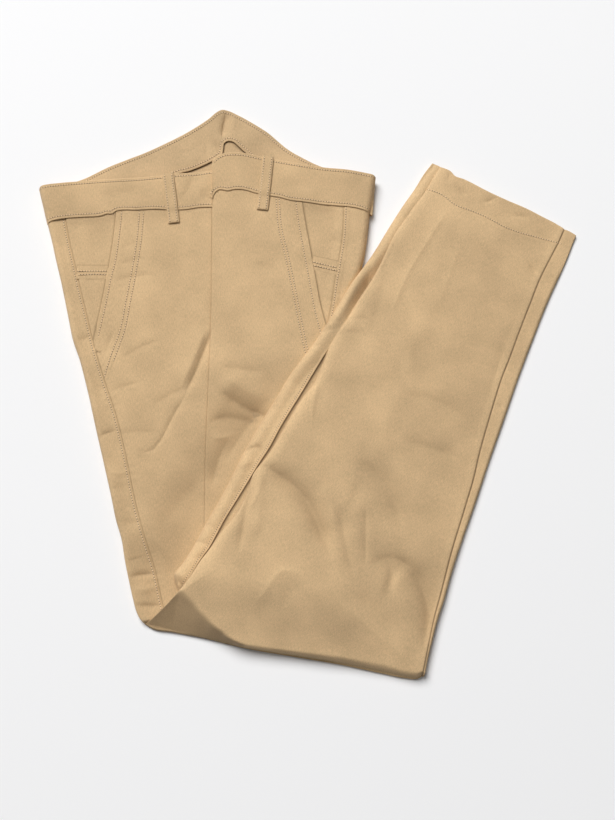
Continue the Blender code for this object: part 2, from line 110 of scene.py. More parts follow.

# %% [markdown]
# ## Curves
# Every seam and edge starts as a few listed points. A smooth curve is run through them, with
# tangents that allow for uneven spacing, so that no bulge appears between far and near points.


# %% Curves through a few points
def curve(points, step=3.0):
    """A soft curve through the points, read evenly about every step millimetres."""
    points = np.array(points, float)
    chord = np.linalg.norm(np.diff(points, axis=0), axis=1)
    slope = np.diff(points, axis=0) / chord[:, None]
    middle = chord[1:, None] * slope[:-1] + chord[:-1, None] * slope[1:]
    middle /= (chord[1:] + chord[:-1])[:, None]
    tangent = np.vstack((slope[0], middle, slope[-1]))
    travelled = np.concatenate(([0.0], np.cumsum(chord)))
    wanted = np.linspace(0, travelled[-1], max(2, round(travelled[-1] / step) + 1))
    k = np.clip(np.searchsorted(travelled, wanted, side="right") - 1, 0, len(chord) - 1)
    t = ((wanted - travelled[k]) / chord[k])[:, None]
    reach = chord[k][:, None]
    near = (2 * t**3 - 3 * t**2 + 1) * points[k] + (t**3 - 2 * t**2 + t) * reach * tangent[k]
    far = (3 * t**2 - 2 * t**3) * points[k + 1] + (t**3 - t**2) * reach * tangent[k + 1]
    return near + far


def lengths(line):
    """Distance travelled along a line at each of its points."""
    return np.concatenate(([0.0], np.cumsum(np.linalg.norm(np.diff(line, axis=0), axis=1))))


def at(line, share):
    """Places on a line at these shares of its length."""
    travelled = lengths(line)
    wanted = np.asarray(share) * travelled[-1]
    return np.column_stack([np.interp(wanted, travelled, line[:, k]) for k in (0, 1)])


def beside(line, away):
    """The line moved sideways: to its right where away is positive."""
    tangent = np.gradient(line, axis=0)
    tangent /= np.linalg.norm(tangent, axis=1)[:, None]
    return line + away * np.column_stack((tangent[:, 1], -tangent[:, 0]))


def part_of(line, start, end):
    """The stretch of a line between two shares of its length."""
    count = max(2, round(lengths(line)[-1] * (end - start) / 3.0) + 1)
    return at(line, np.linspace(start, end, count))


print("a straight 30 mm curve has", len(curve(((0, 0), (30, 0)))), "points")


# %% Distances and soft steps
def from_line(line, x, y):
    """For each place: its distance from the line, positive to the left of it, and its share along it."""
    best = np.full(np.shape(x), 1e9)
    side = np.ones(np.shape(x))
    share = np.zeros(np.shape(x))
    travelled = lengths(line)
    for k in range(len(line) - 1):
        step = line[k + 1] - line[k]
        size = step @ step
        if size < 1e-12:
            continue
        dx = x - line[k, 0]
        dy = y - line[k, 1]
        t = np.clip((dx * step[0] + dy * step[1]) / size, 0, 1)
        far = np.hypot(dx - t * step[0], dy - t * step[1])
        nearer = far < best
        best = np.where(nearer, far, best)
        side = np.where(nearer, np.sign(step[0] * dy - step[1] * dx), side)
        share = np.where(nearer, (travelled[k] + t * math.sqrt(size)) / travelled[-1], share)
    return best * side, share


def ease(t):
    """0 below 0, 1 above 1, and a soft step between."""
    t = np.clip(t, 0, 1)
    return t * t * (3 - 2 * t)


def round_over(distance, width):
    """0 at an edge, 1 once width inside it, along a quarter of an ellipse."""
    t = np.clip(np.asarray(distance) / width, 0, 1)
    return np.sqrt(1 - (1 - t) ** 2)


def looked_up(rows, place, column=1):
    """A value from a short table, read between its rows."""
    table = np.array(rows, float)
    return np.interp(place, table[:, 0], table[:, column])


print("halfway up a rounded edge at", round(float(1 - math.sqrt(0.75)), 2), "of its width")


# %% [markdown]
# ## The lines of the garment
# Seams and edges, in the order in which a patternmaker would chalk them. Each one runs from the bottom
# up, or from left to right. Pieces share these lines, so neighbours meet without a gap.

# %% Lines of the seat and the waistband
LEFT_OUTLINE = curve((
    (-168, -247.5), (-178, -244.5), (-185, -238), (-189.5, -229.5), (-193.5, -216), (-199, -194),
    (-204, -172), (-208, -150), (-215.2, -127), (-220.5, -104), (-232, -58), (-243.7, -12),
    (-249.2, 11), (-255.6, 35), (-262.2, 58), (-271, 82), (-276.6, 106), (-282.2, 130.5),
    (-288, 155), (-294.6, 180), (-300.5, 204), (-305.5, 222), (-309, 234)))
OUTSEAM = curve((
    (-155, -244), (-162, -218), (-170, -185), (-182, -148), (-193, -110), (-206, -53), (-219, -5),
    (-233, 34), (-246.5, 77), (-255, 109.6), (-262.3, 136.4), (-270, 167.5), (-278, 198.7),
    (-283, 223), (-285, 235)))
OUTSEAM_LOW = part_of(OUTSEAM, 0.0, 0.672)
FLY = curve((
    (-116, -150), (-115.4, -119), (-115, -60), (-113, 10), (-110.8, 95), (-110.6, 178),
    (-111.6, 248), (-111.8, 262)))
RIGHT_MOUTH = curve((
    (-246.8, 77), (-237.5, 127), (-233.2, 155.6), (-228.4, 187.8), (-224.4, 231.7), (-223.4, 247)))
LEFT_MOUTH = curve((
    (26, 76), (20.2, 98.5), (14.5, 121), (8.7, 154.3), (2.9, 187.8), (-3.6, 224.7), (-7, 246.4),
    (-9, 260)))
RIGHT_SEAM = curve((
    (18, 80), (26, 112), (32, 151.9), (36.5, 176.3), (41, 207), (42.7, 237.9), (43.5, 254)))
RIGHT_OUTLINE = curve((
    (40, 105), (52, 142), (60, 160), (65, 178), (70, 208), (73.5, 237), (76, 248)))
BAND_BOTTOM_RIGHT = curve((
    (-306, 222), (-297, 224.8), (-284, 227), (-263, 228.6), (-246, 229.6), (-240.5, 230.6),
    (-236.5, 232.4), (-229, 232.8), (-225.5, 235.8), (-221, 236.8), (-200, 237.2), (-180, 238.2),
    (-167, 237.6), (-150, 237.6), (-140, 238.4), (-132, 240), (-123, 240.9), (-112, 241.2),
    (-98, 242.5)), 2.0)
BAND_TOP_RIGHT = curve((
    (-317, 264.5), (-306, 267), (-293, 268.5), (-246, 272.5), (-223, 274), (-198, 275.5), (-169, 278.5),
    (-151, 280.5), (-131, 282), (-111.5, 285), (-98, 288)))
BAND_BOTTOM_LEFT = curve((
    (-112, 251), (-110.5, 255.5), (-107.5, 259.5), (-103.5, 262), (-98.5, 261.4), (-94, 260.6),
    (-88, 262), (-76, 262), (-70, 260.6), (-64, 258.6), (-58, 257.2), (-51, 256.4), (-43, 254),
    (-32, 252), (-26, 250.2), (-18, 248.2), (-9, 247.3), (3, 245.8), (15, 244), (35, 242.4),
    (57, 240.2), (69, 236.6), (76, 233.4)), 2.0)
BAND_TOP_LEFT = curve((
    (-111.6, 296), (-107.5, 300.5), (-101, 304.3), (-90, 306.2), (-76, 305.4), (-62, 302.4),
    (-54, 300.4), (-38, 297.2), (-9, 292), (15, 288), (50, 284.8), (80, 279)))
BACK_EDGE = curve((
    (-300, 270), (-288, 272.5), (-276, 275.5), (-264, 280), (-252, 286.2), (-241, 292.2),
    (-217, 302.8), (-194, 312.2), (-170, 324), (-147, 336.5), (-129, 348), (-117, 357),
    (-109.5, 364), (-102.5, 367.6), (-96, 366.4), (-86, 361.6), (-75, 355.6), (-62, 347.6),
    (-47, 337.4), (-33, 324.6), (-23, 316.2), (-7, 306.4), (17, 294.5), (45, 288), (66, 283)))
BACK_INNER = curve((
    (-300, 256), (-240, 262), (-190, 272), (-160, 284), (-149, 287.6), (-140, 290), (-128, 295),
    (-116, 301), (-107, 307), (-102.4, 311),
    (-101, 318), (-100, 324.6), (-96, 327.6), (-89, 327), (-83, 322), (-77, 316), (-71.5, 311),
    (-66, 305.5), (-60, 299), (-30, 290), (20, 276), (66, 268)), 2.0)
print("back waistband edge", round(lengths(BACK_EDGE)[-1]), "mm")

# %% Lines of the folded legs
TOP_LEG_LEFT = curve((
    (-179, -244), (-163, -231), (-142, -210), (-128, -192), (-118, -176), (-108, -163), (-95, -143.5),
    (-86, -133), (-79, -123.5), (-72, -111.5), (-67, -100), (-63.5, -89), (-60, -78), (-54, -70),
    (-49, -64), (-38, -48), (-31, -36), (-20, -16), (-5, 9), (8, 26), (14, 39), (20, 56), (26, 72),
    (34, 87), (47, 105), (61, 129), (75, 151), (89, 178), (102, 206), (120, 233), (138, 260),
    (151, 283), (157, 293)))
INSEAM = curve((
    (126, -300), (134, -264), (140, -238), (147.5, -213), (161, -165), (178, -113), (188.2, -81),
    (195.8, -51), (205.8, -18), (214.7, 10), (223.5, 36), (232.2, 57), (246.2, 93), (260.1, 127),
    (271.7, 155), (284.5, 180), (297, 203.6), (303, 217)))
TOP_LEG_RIGHT = curve((
    (128, -300), (131.6, -283), (137.4, -261), (143.6, -239), (151.3, -217), (157.8, -195),
    (173.2, -150), (190, -105), (206.5, -58.5), (224, -12), (241.3, 35), (260.2, 82.5), (280.5, 131),
    (303.5, 180), (313, 203), (316, 209.5)))
FOLD = curve((
    (-179, -244), (-172, -248), (-149, -252), (-114, -258.5), (-71, -269), (-19, -278), (41, -288),
    (84, -297), (110, -302), (121, -302.5), (126, -300)))
# how the legs roll over their fold; columns: x, width of the roll, sag
FOLD_ROWS = (
    (-150, 2.5, 5.0), (-90, 2.5, 11.0), (-66, 3.0, 15.0), (-19, 5.0, 16.5), (41, 8.0, 16.0), (84, 9.0, 14.0),
    (132, 6.0, 9.0))
FACE_START = np.array((-181.0, -243.0))  # the flat face at the fold's left corner, above this straight line
FACE_AHEAD = np.array((0.973, -0.233))
FACE_FOOT = 4.5
# columns: distance along that line, steepness of the face
FACE_ROWS = ((0, 0.9), (16, 0.72), (31, 0.6), (49, 0.74), (66, 1.0), (88, 1.7), (112, 5.0), (160, 30.0))
HEM = curve((
    (157, 293), (161, 291), (169.5, 286.5), (174, 281), (184, 277), (212, 262), (235, 251.4), (259, 241.6),
    (278, 232), (292, 224.4), (303, 217)), 2.0)
HEM_RIGHT = curve(((303, 217), (310, 213.5), (316, 209.5)))
UNDER_LEG_LEFT = curve((
    (-143, -208), (-147.5, -196), (-148.5, -190), (-140, -178), (-128, -159), (-116, -136), (-96, -100),
    (-69, -45), (-43, 0), (-20, 38), (6, 73), (30, 111), (53, 150), (76, 184), (103, 229), (115, 248),
    (128, 267), (140, 287), (149, 299)))
# how high the top leg's right edge lies; columns: distance along the leg, height
RIGHT_EDGE_ROWS = ((0, 12.0), (100, 10.0), (250, 7.0), (400, 6.0), (588, 5.0))
# how far the under leg slopes down beside the upper one; columns: distance along the leg, dip
UNDER_SHADE_ROWS = (
    (10, 2.0), (40, 4.2), (80, 4.8), (165, 4.8), (200, 4.4), (272, 3.6), (320, 2.8), (338, 2.0), (352, 2.6),
    (370, 6.0), (445, 6.0), (470, 3.0), (588, 1.5))
UNDER_LEG_SEAM = beside(curve((
    (-143, -211), (-129, -191), (-119, -174), (-109, -160), (-101, -145), (-92, -128), (-79, -106.5),
    (-66, -85), (-55, -66.5), (-42, -46), (-31, -25), (-18, -3), (-7, 15), (3, 32), (12, 47), (21, 62),
    (40, 84), (67, 121), (98, 170), (129, 218), (154, 260), (168, 287))), -0.8)
GAP_DROP = 1.3  # how far the cloth past that seam lies below it
GAP_SLOPE = 0.12
GAP_WIDTH = 12.0
GAP_LOWEST = 2.0
# the thighs' right edge, hidden under the legs; columns: y, x
THIGH_RIGHT_ROWS = (
    (-262, 123), (-195, 110), (-112, 94), (-25, 76), (16, 66), (71, 58), (123, 58), (180, 66),
    (222, 71), (262, 79))

FOLD_MIDDLE = np.array((-26.0, -273.0))
LEG_ANGLE = math.radians(63.9)
ALONG = np.array((math.cos(LEG_ANGLE), math.sin(LEG_ANGLE)))
ACROSS = np.array((math.sin(LEG_ANGLE), -math.cos(LEG_ANGLE)))
print("outseam", round(lengths(OUTSEAM)[-1]), "mm on the table, leg edge", round(lengths(TOP_LEG_LEFT)[-1]))

# %% [markdown]
# ## Creases
# Cloth that has been worn and folded never lies flat. Each crease is a bent line with a rise in
# millimetres, negative for a trough, and its own width on either side: a narrow side gives a crisp
# shadow, a wide one fades away. Left is the side at the left hand of someone walking along the line.

# %% Creases
# columns: zone, rise, width at its left, width at its right, points
CREASES = (
    # the strong pull from the pinch at the leg's edge
    ("leg", -7.6, 12, 11, (
        (-55, -67), (-41, -74), (-30, -82), (-20, -90), (-10, -98), (-2, -108), (5, -121), (13, -138),
        (20, -155), (26, -174))),
    ("leg", 2.6, 12, 9, ((14, -92), (22, -106), (28, -124), (33, -146))),
    ("leg", -3.0, 4, 7, ((-57, -76), (-61, -86), (-67, -112), (-72, -144), (-76, -170))),
    ("leg", 1.6, 8, 10, ((-50, -98), (-54, -124), (-58, -150))),
    ("leg", -2.2, 6, 8, ((35, -114), (38, -132), (41, -152), (46, -176), (54, -198))),
    ("leg", -1.4, 4, 6, ((65, -114), (64, -184))),
    ("leg", -3.4, 12, 20, ((50, -66), (68, -72), (82, -84), (92, -100), (100, -122), (105, -146))),
    # arches over the fold
    ("leg", 1.0, 5, 7, ((-60, -226), (-48, -212), (-38, -198), (-26, -187), (-13, -190), (-6, -206))),
    ("leg", -0.7, 8, 16, ((-54, -238), (-40, -220), (-28, -203), (-15, -205), (-6, -224))),
    ("leg", -2.8, 9, 24, ((68, -180), (80, -175), (92, -172), (104, -175), (116, -184))),
    ("leg", -6.4, 16, 11, (
        (98, -172), (112, -180), (123, -193), (130, -210), (134, -230), (136, -252), (135, -272),
        (133, -290))),
    ("leg", -1.6, 11, 13, ((52, -212), (74, -228), (98, -258))),
    # soft hollows on the shin
    ("leg", -1.5, 9, 14, ((111, 13), (140, 10), (162, 1), (182, -15))),
    ("leg", -1.6, 9, 12, ((107, -41), (133, -44), (155, -52), (174, -58))),
    ("leg", -1.6, 16, 12, ((108, 216), (94, 172), (84, 125), (66, 71))),
    ("leg", -1.2, 4, 6, ((52, 102), (62, 104), (72, 101))),
    ("leg", -1.0, 5, 8, ((34, 84), (49, 87), (66, 85))),
    ("leg", 1.2, 3, 5, ((24, 68), (14, 34), (8, 8), (5, -22))),
    ("leg", 1.3, 4, 6, ((-53, -74), (-51, -88), (-56, -104), (-63, -120))),
    ("leg", -0.7, 5, 5, ((123, 76), (126, 52))),
    ("leg", 0.9, 4, 6, ((168, 242), (144, 204), (116, 156), (96, 108))),
    ("leg", 0.6, 6, 7, ((182, 202), (168, 164), (150, 118))),
    ("leg", -0.9, 8, 8, ((231, 90), (218, 43), (206, 4))),
    ("leg", 1.0, 22, 24, ((122, 62), (98, 2), (86, -38))),
    # puckers at the hem and the inseam
    ("leg", -1.2, 3, 4, ((169, 286), (167, 276))),
    ("leg", -1.1, 4, 4, ((176, 265), (188, 257))),
    ("leg", -1.3, 4, 4, ((208, 248), (224, 254))),
    ("leg", -1.0, 4, 4, ((240, 233), (262, 232))),
    ("leg", -1.5, 3, 4, ((271, 212), (285, 208))),
    ("leg", -1.6, 4, 4, ((259, 175), (268, 158))),
    ("leg", -1.0, 3, 3, ((216, 5), (228, 2))),
    # the thighs, pulled by the crotch
    ("hip", 2.0, 4, 15, ((-116, 96), (-126, 68), (-136, 42), (-145, 22))),
    ("hip", -3.2, 5, 4, ((-110, 92), (-120, 64), (-130, 38), (-140, 16))),
    ("hip", -1.5, 3, 3, ((-138, 17), (-154, -12), (-167, -38), (-176, -49), (-189, -52))),
    ("hip", -0.9, 5, 8, ((-215, -30), (-190, -28), (-168, -29))),
    ("hip", -0.8, 4, 7, ((-213, 57), (-193, 70), (-168, 80))),
    ("hip", -0.8, 4, 6, ((-228, 20), (-209, 25), (-190, 31))),
    ("hip", -1.2, 6, 8, ((-174, 3), (-155, 16), (-134, 25))),
    ("hip", -0.8, 4, 5, ((-217, 192), (-203, 196))),
    ("hip", -0.7, 4, 5, ((-218, 171), (-189, 179))),
    ("hip", -0.9, 4, 7, ((-225, 151), (-201, 156), (-176, 159))),
    ("hip", -1.0, 5, 5, ((-176, -151), (-161, -170), (-147, -194))),
    ("hip", -0.9, 4, 4, ((-222, 94), (-229, 74), (-234, 56))),
    ("hip", -1.1, 14, 14, ((-121, -84), (-143, -106), (-165, -140))),
    ("hip", 2.0, 16, 8, ((-97, 34), (-80, 26), (-62, 16), (-46, 8))),
    ("hip", -5.6, 10, 8, ((-98, 18), (-84, 9), (-72, 1), (-60, -4), (-48, -9), (-36, -13))),
    ("hip", -3.8, 9, 12, ((-112, -19), (-102, -13), (-90, -11), (-76, -12), (-62, -15), (-48, -18))),
    ("hip", -2.4, 9, 12, ((-54, 4), (-66, -16), (-80, -38), (-94, -62))),
    ("hip", 1.2, 5, 6, ((-108, -34), (-96, -34), (-84, -30))),
    ("hip", -2.6, 9, 10, ((-90, -36), (-98, -52), (-104, -70), (-108, -92))),
    ("hip", -1.6, 8, 9, ((-98, 48), (-75, 44), (-52, 41))),
    ("hip", -0.7, 6, 6, ((-58, 171), (-38, 161))),
    ("hip", 0.9, 22, 22, ((-84, 200), (-84, 150), (-82, 96))),
    ("hip", -0.8, 12, 12, ((-150, 150), (-152, 110), (-146, 70))),
    # the strip behind the outseam, and the corner of the fold
    ("hip", -1.4, 4, 5, ((-264, 79), (-258, 81), (-250, 86))),
    ("hip", -1.7, 3, 4, ((-238, -34), (-229, -30), (-217, -26))),
    ("hip", -0.9, 5, 6, ((-244, 26), (-236, 22), (-226, 22))),
    ("hip", -1.0, 6, 5, ((-222, -88), (-212, -94), (-202, -92))),
    ("hip", 0.9, 6, 6, ((-226, -70), (-214, -76), (-204, -74))),
    ("hip", -1.0, 5, 6, ((-208, -128), (-196, -132), (-188, -130))),
    ("hip", -1.1, 3, 4, ((-199, -174), (-187, -171))),
    ("hip", -2.5, 3, 4, ((-197, -191), (-184, -189), (-172, -188))),
    ("hip", 1.6, 6, 6, ((-194, -206), (-180, -206), (-168, -205))),
    ("hip", -2.1, 3, 4, ((-190, -223), (-175, -224), (-163, -223))),
    # pocket facings
    ("hip", -1.0, 4, 4, ((22, 243), (28, 230), (34, 216))),
    ("hip", -0.9, 3, 4, ((26, 202), (38, 199))),
    ("hip", -0.7, 14, 12, ((-252, 216), (-250, 196), (-256, 180))),
    # the waistband
    ("band", -0.7, 8, 8, ((-244, 252), (-220, 256), (-196, 262))),
    ("band", -0.8, 5, 7, ((-152, 246), (-140, 262), (-134, 280))),
    ("band", -1.2, 3, 4, ((-124, 260), (-117, 251), (-112, 244))),
    ("band", 0.7, 9, 9, ((-132, 250), (-122, 268), (-118, 286))),
    ("band", -0.6, 10, 10, ((-30, 270), (0, 266), (34, 266))),
    # the back waistband, creased at the centre seam
    ("back", -4.6, 10, 3, ((-98.5, 364), (-99, 355), (-101, 346), (-102, 332))),
    ("back", -2.2, 4, 3, ((-112, 328), (-107, 319), (-102, 311))),
    ("back", -0.9, 3, 3, ((-122, 316), (-120, 310), (-118, 303))),
    ("back", 1.8, 9, 7, ((-91, 362), (-89, 350), (-93, 336))),
    ("back", -0.9, 8, 8, ((-160, 306), (-134, 318), (-116, 330))),
    ("back", -0.7, 6, 6, ((-128, 306), (-120, 318), (-118, 330))),
    ("back", -0.7, 9, 9, ((-60, 334), (-44, 322), (-20, 306))),
    # the under leg's edge
    ("under", -2.4, 3, 6, ((-76, -56), (-67, -49), (-57, -46), (-49, -50))),
    ("under", 1.2, 5, 4, ((-84, -66), (-72, -66), (-62, -62))),
    ("under", -1.6, 3, 4, ((-132, -154), (-122, -153), (-110, -158))),
    ("under", -1.4, 3, 4, ((-122, -134), (-113, -134), (-103, -140))),
    ("under", -1.2, 3, 4, ((14, 85), (22, 89), (32, 90))),
    ("under", -1.0, 3, 3, ((4, 67), (10, 71), (19, 66))),
    ("under", -0.8, 4, 4, ((58, 150), (66, 148), (74, 142))),
    ("under", -1.2, 5, 4, ((-134, -170), (-124, -172), (-112, -168))),
    ("under", -1.4, 4, 5, ((-152, -200), (-142, -203), (-134, -198))),
    ("under", -0.7, 4, 4, ((-20, 30), (-12, 26), (-4, 18))),
)


def creases_of(zone):
    """The creases of one zone, their points turned into soft curves."""
    return [
        (curve(points, 4.0), rise, left, right)
        for name, rise, left, right, points in CREASES if name == zone]


CREASE_LINES = {zone: creases_of(zone) for zone in ("leg", "hip", "band", "back", "under")}
print("creases:", {zone: len(lines) for zone, lines in CREASE_LINES.items()})


# %% Reading the creases
def crease_shape(line, x, y, left, right):
    """1 on the line, falling to both sides in nearly flat flanks, and fading past its ends."""
    travelled = lengths(line)
    share = travelled / travelled[-1]
    fade = ease(share / 0.3 + 0.12) * ease((1 - share) / 0.3 + 0.12)
    ahead = np.gradient(line, axis=0)
    ahead /= np.linalg.norm(ahead, axis=1)[:, None]
    blur = max(5.0, 0.6 * min(left, right))
    total = np.zeros(np.shape(x))
    for place, way, strength in zip(line, ahead, fade):
        dx = x - place[0]
        dy = y - place[1]
        along = dx * way[0] + dy * way[1]
        side = dy * way[0] - dx * way[1]
        wide = side / (np.where(side > 0, left, right) * (0.4 + 0.6 * strength))
        # the root rounds the crest, and 0.245 is its value on the line itself
        total += strength * np.exp(-((along / blur) ** 2) - 1.25 * (np.sqrt(wide**2 + 0.06) - 0.245))
    return total * travelled[-1] / (len(line) - 1) / (blur * math.sqrt(math.pi))


def crease_height(zone, x, y):
    """What the creases of a zone add at each place."""
    height = np.zeros(np.shape(x))
    for line, rise, left, right in CREASE_LINES[zone]:
        reach = 3.2 * max(left, right)
        low = line.min(axis=0) - reach
        high = line.max(axis=0) + reach
        near = (x > low[0]) & (x < high[0]) & (y > low[1]) & (y < high[1])
        if near.any():
            height[near] += rise * crease_shape(line, x[near], y[near], left, right)
    return height


def soft_noise(x, y, size, seed):
    """Smooth random hills about size millimetres across, between -1 and 1, from a grid that repeats."""
    draw = np.random.default_rng(seed).uniform(-1, 1, (96, 96))
    u = np.asarray(x) / size + 40.5
    v = np.asarray(y) / size + 40.5
    i = np.floor(u).astype(int)
    j = np.floor(v).astype(int)
    fu = ease(u - i)
    fv = ease(v - j)
    i %= 95
    j %= 95
    low = draw[i, j] * (1 - fu) + draw[i + 1, j] * fu
    high = draw[i, j + 1] * (1 - fu) + draw[i + 1, j + 1] * fu
    return low * (1 - fv) + high * fv


def slack(x, y, seed, angle=0.0):
    """The faint unevenness of cloth that was smoothed by hand: long soft swells and small ones."""
    c, s = math.cos(angle), math.sin(angle)
    u = c * x + s * y
    v = -s * x + c * y
    swell = 0.55 * soft_noise(u, v / 2.2, 46, seed) + 0.28 * soft_noise(u, v / 1.8, 23, seed + 1)
    return swell + 0.10 * soft_noise(u, v / 1.5, 10, seed + 2)


print("deepest crease", min(row[1] for row in CREASES), "mm")

# %% [markdown]
# ## Heights
# The pile is low, so a panel's form is its height over the table at each place. A cloth simulation could
# drape it, but then every fold would land somewhere of its own, and here each has its place. Each edge
# rounds over along part of an ellipse, because folded cloth makes a soft tube and never a knife edge.
# The heights start from the sizes of the construction model, which is plainer. The upper leg slopes
# further down to its right edge here, the seat sinks beside it and the waistband's mouth stands higher. On
# the leg's right half the cloth lies up to about 13 mm below that model, at the mouth 5 to 8 mm above it.


# %% Heights of the pile
def thigh_right(y):
    """The x of the thighs' right edge."""
    return looked_up(THIGH_RIGHT_ROWS, y)


def leg_place(x, y):
    """Distance along the leg from the fold, and offset across it."""
    dx = x - FOLD_MIDDLE[0]
    dy = y - FOLD_MIDDLE[1]
    return dx * ALONG[0] + dy * ALONG[1], dx * ACROSS[0] + dy * ACROSS[1]


def under_legs(x, y):
    """What the folded legs lie on: the thighs, sloping down to the table at the right."""
    return HIP_TOP * ease((thigh_right(y) - x - SLOPE_START) / SLOPE_LENGTH)


def band_edges(x):
    """The waistband's lower and upper edge at each x."""
    lower = np.where(x < -111.5, np.interp(x, *BAND_BOTTOM_RIGHT.T), np.interp(x, *BAND_BOTTOM_LEFT.T))
    upper = np.where(x < -111.5, np.interp(x, *BAND_TOP_RIGHT.T), np.interp(x, *BAND_TOP_LEFT.T))
    return lower, upper


def under_tip(x, y):
    """How high the seat may lie beside and under the folded leg's tip."""
    outside = np.maximum(from_line(TOP_LEG_LEFT, x, y)[0] - 0.5, 0)
    return leg_height(x, y) - TIP_CLEAR + TIP_RISE * outside


def pressed(x, y):
    """The seat sinks under the folded legs, and the cloth beside them sinks with it."""
    beside_legs = ease(1 - np.abs(from_line(UNDER_LEG_LEFT, x, y)[0]) / PRESS_WIDTH)
    return PRESS * beside_legs * ease((PRESS_START - y) / PRESS_LENGTH)


def seat_height(x, y):
    """The seat and thighs, round at their sides and lower towards the fold."""
    left = -from_line(LEFT_SIDE, x, y)[0]
    right = np.where(y > 135, from_line(RIGHT_SIDE, x, y)[0], thigh_right(y) - x)
    inside = round_over(np.minimum(left, right), HIP_ROLL)
    _, upper = band_edges(x)
    mouth = ease((y - upper + MOUTH_LENGTH) / MOUTH_LENGTH)
    fall = BAND_DIP * mouth + HIP_FALL * ease((FALL_START - y) / FALL_LENGTH)
    height = HIP_EDGE + (HIP_TOP - HIP_EDGE) * inside - fall * inside
    height = height + (crease_height("hip", x, y) + slack(x, y, 3) - pressed(x, y)) * inside
    tip = y < TIP_LINE
    if np.any(tip):
        height[tip] = soft_min(height[tip], under_tip(x[tip], y[tip]), 1.0)
    return height


def lap(x, y):
    """The left front lies on the right one, thinning out to the right."""
    return LAP * ease((thigh_right(y) - x) / LAP_LENGTH)


LEFT_SIDE = np.vstack((LEFT_OUTLINE, curve(((-309, 234), (-318, 268)))))
RIGHT_SIDE = np.vstack((RIGHT_OUTLINE, curve(((76, 248), (81, 280)))))
print("seat", HIP_TOP, "mm high, its edges", HIP_EDGE, "mm")


# %% Height of the under leg
def under_leg_height(x, y):
    """The leg that lies below, of which one rounded edge shows."""
    along, _ = leg_place(x, y)
    inside = -from_line(UNDER_LEG_LEFT, x, y)[0]
    hips = HIP_TOP * ease((thigh_right(y) - x + THIGH_SPILL) / THIGH_SLOPE)
    base = np.maximum(np.maximum(under_legs(x, y), hips), 3.0)
    hem = HEM_DROP * ease(1 - (UNDER_LEG_LENGTH - along) / HEM_LENGTH)
    taper = ease((along + 5) / 30)
    rise = UNDER_LEG_EDGE + (UNDER_LEG_TOP - UNDER_LEG_EDGE) * round_over(inside, UNDER_LEG_ROLL) * taper
    height = base + rise - np.minimum(hem, rise - UNDER_LEG_EDGE)
    calm = round_over(inside, 6.0)
    dip = looked_up(UNDER_SHADE_ROWS, along) * ease((inside - 5) / 13)
    dip = dip + pressed(x, y) * ease(1 - inside / 30)
    creased = crease_height("under", x, y) + UNDER_LEG_SLACK * slack(x, y, 11, LEG_ANGLE)
    return height - dip + creased * calm


def gap_height(x, y):
    """The cloth past the under leg's seam, deep in the gap beside the upper leg."""
    past_seam = np.maximum(-from_line(UNDER_LEG_SEAM, x, y)[0], 0)
    height = under_leg_height(x, y) - GAP_DROP - GAP_SLOPE * np.minimum(past_seam, GAP_WIDTH)
    return np.maximum(height, GAP_LOWEST)


print("under leg", UNDER_LEG_TOP, "mm thick, its edge", UNDER_LEG_EDGE, "mm")


# %% Height of the top leg
def soft_min(a, b, blend):
    """The lower of two heights, rounded where they meet."""
    share = np.clip(0.5 + 0.5 * (b - a) / blend, 0, 1)
    return b + (a - b) * share - blend * share * (1 - share)


def face_height(x, y):
    """The flat face at the left corner of the fold, steeper to the right."""
    dx = x - FACE_START[0]
    dy = y - FACE_START[1]
    place = dx * FACE_AHEAD[0] + dy * FACE_AHEAD[1]
    above = dy * FACE_AHEAD[0] - dx * FACE_AHEAD[1]
    return FACE_FOOT + np.maximum(above, 0) * looked_up(FACE_ROWS, place)


def leg_height(x, y):
    """The upper leg: rolled at the left, sloping to its right edge, sagging at the fold, thin at the hem."""
    along, _ = leg_place(x, y)
    from_left = np.maximum(-from_line(TOP_LEG_LEFT, x, y)[0], 0)
    from_right = np.maximum(from_line(TOP_LEG_RIGHT, x, y)[0], 0)
    from_fold = np.maximum(from_line(FOLD, x, y)[0], 0)
    from_hem = TOP_LEG_LENGTH - along
    base = under_legs(x, y)
    corner = ease(1 - from_fold / CORNER_REACH)
    top = base + TOP_LEG_TOP - HEM_THINNER * ease((along - THIN_START) / THIN_LENGTH)
    edge = np.minimum(base + TOP_LEG_EDGE * (1 - corner) + CORNER_LIFT * corner, top - 2)
    left_roll = TOP_LEG_ROLL + CORNER_ROLL * corner
    drop_left = (top - edge) * (1 - round_over(from_left, left_roll))
    low_edge = base * 0.4 + looked_up(RIGHT_EDGE_ROWS, along)
    beside_edge = np.clip(1 - from_right / RIGHT_TILT_WIDTH, 0, 1)
    tilt = (top - low_edge) * (0.6 * ease(beside_edge) + 0.4 * beside_edge)
    drop_right = tilt + EDGE_TURN * (1 - round_over(from_right, EDGE_TURN_WIDTH))
    roll = looked_up(FOLD_ROWS, x)
    sag = looked_up(FOLD_ROWS, x, column=2) * ease(1 - from_fold / FOLD_SAG_LENGTH)
    drop_fold = (top - FOLD_EDGE) * (1 - round_over(from_fold, roll)) + sag
    hem = HEM_DROP * ease(1 - from_hem / HEM_LENGTH)
    calm = ease(from_fold / 14) * ease(from_left / 7 + 0.15) * ease(from_right / 9)
    height = top - np.maximum(np.maximum(drop_left, drop_right), drop_fold) - hem
    height += (crease_height("leg", x, y) + LEG_SLACK * slack(x, y, 7, LEG_ANGLE - 1.4)) * calm
    height = soft_min(height, face_height(x, y), FACE_BLEND)
    return -soft_min(-height, np.full(np.shape(x), -LEG_LOWEST), 1.0)


print("right edge of the top leg, fold and hem:", RIGHT_EDGE_ROWS[0][1], RIGHT_EDGE_ROWS[-1][1], "mm")


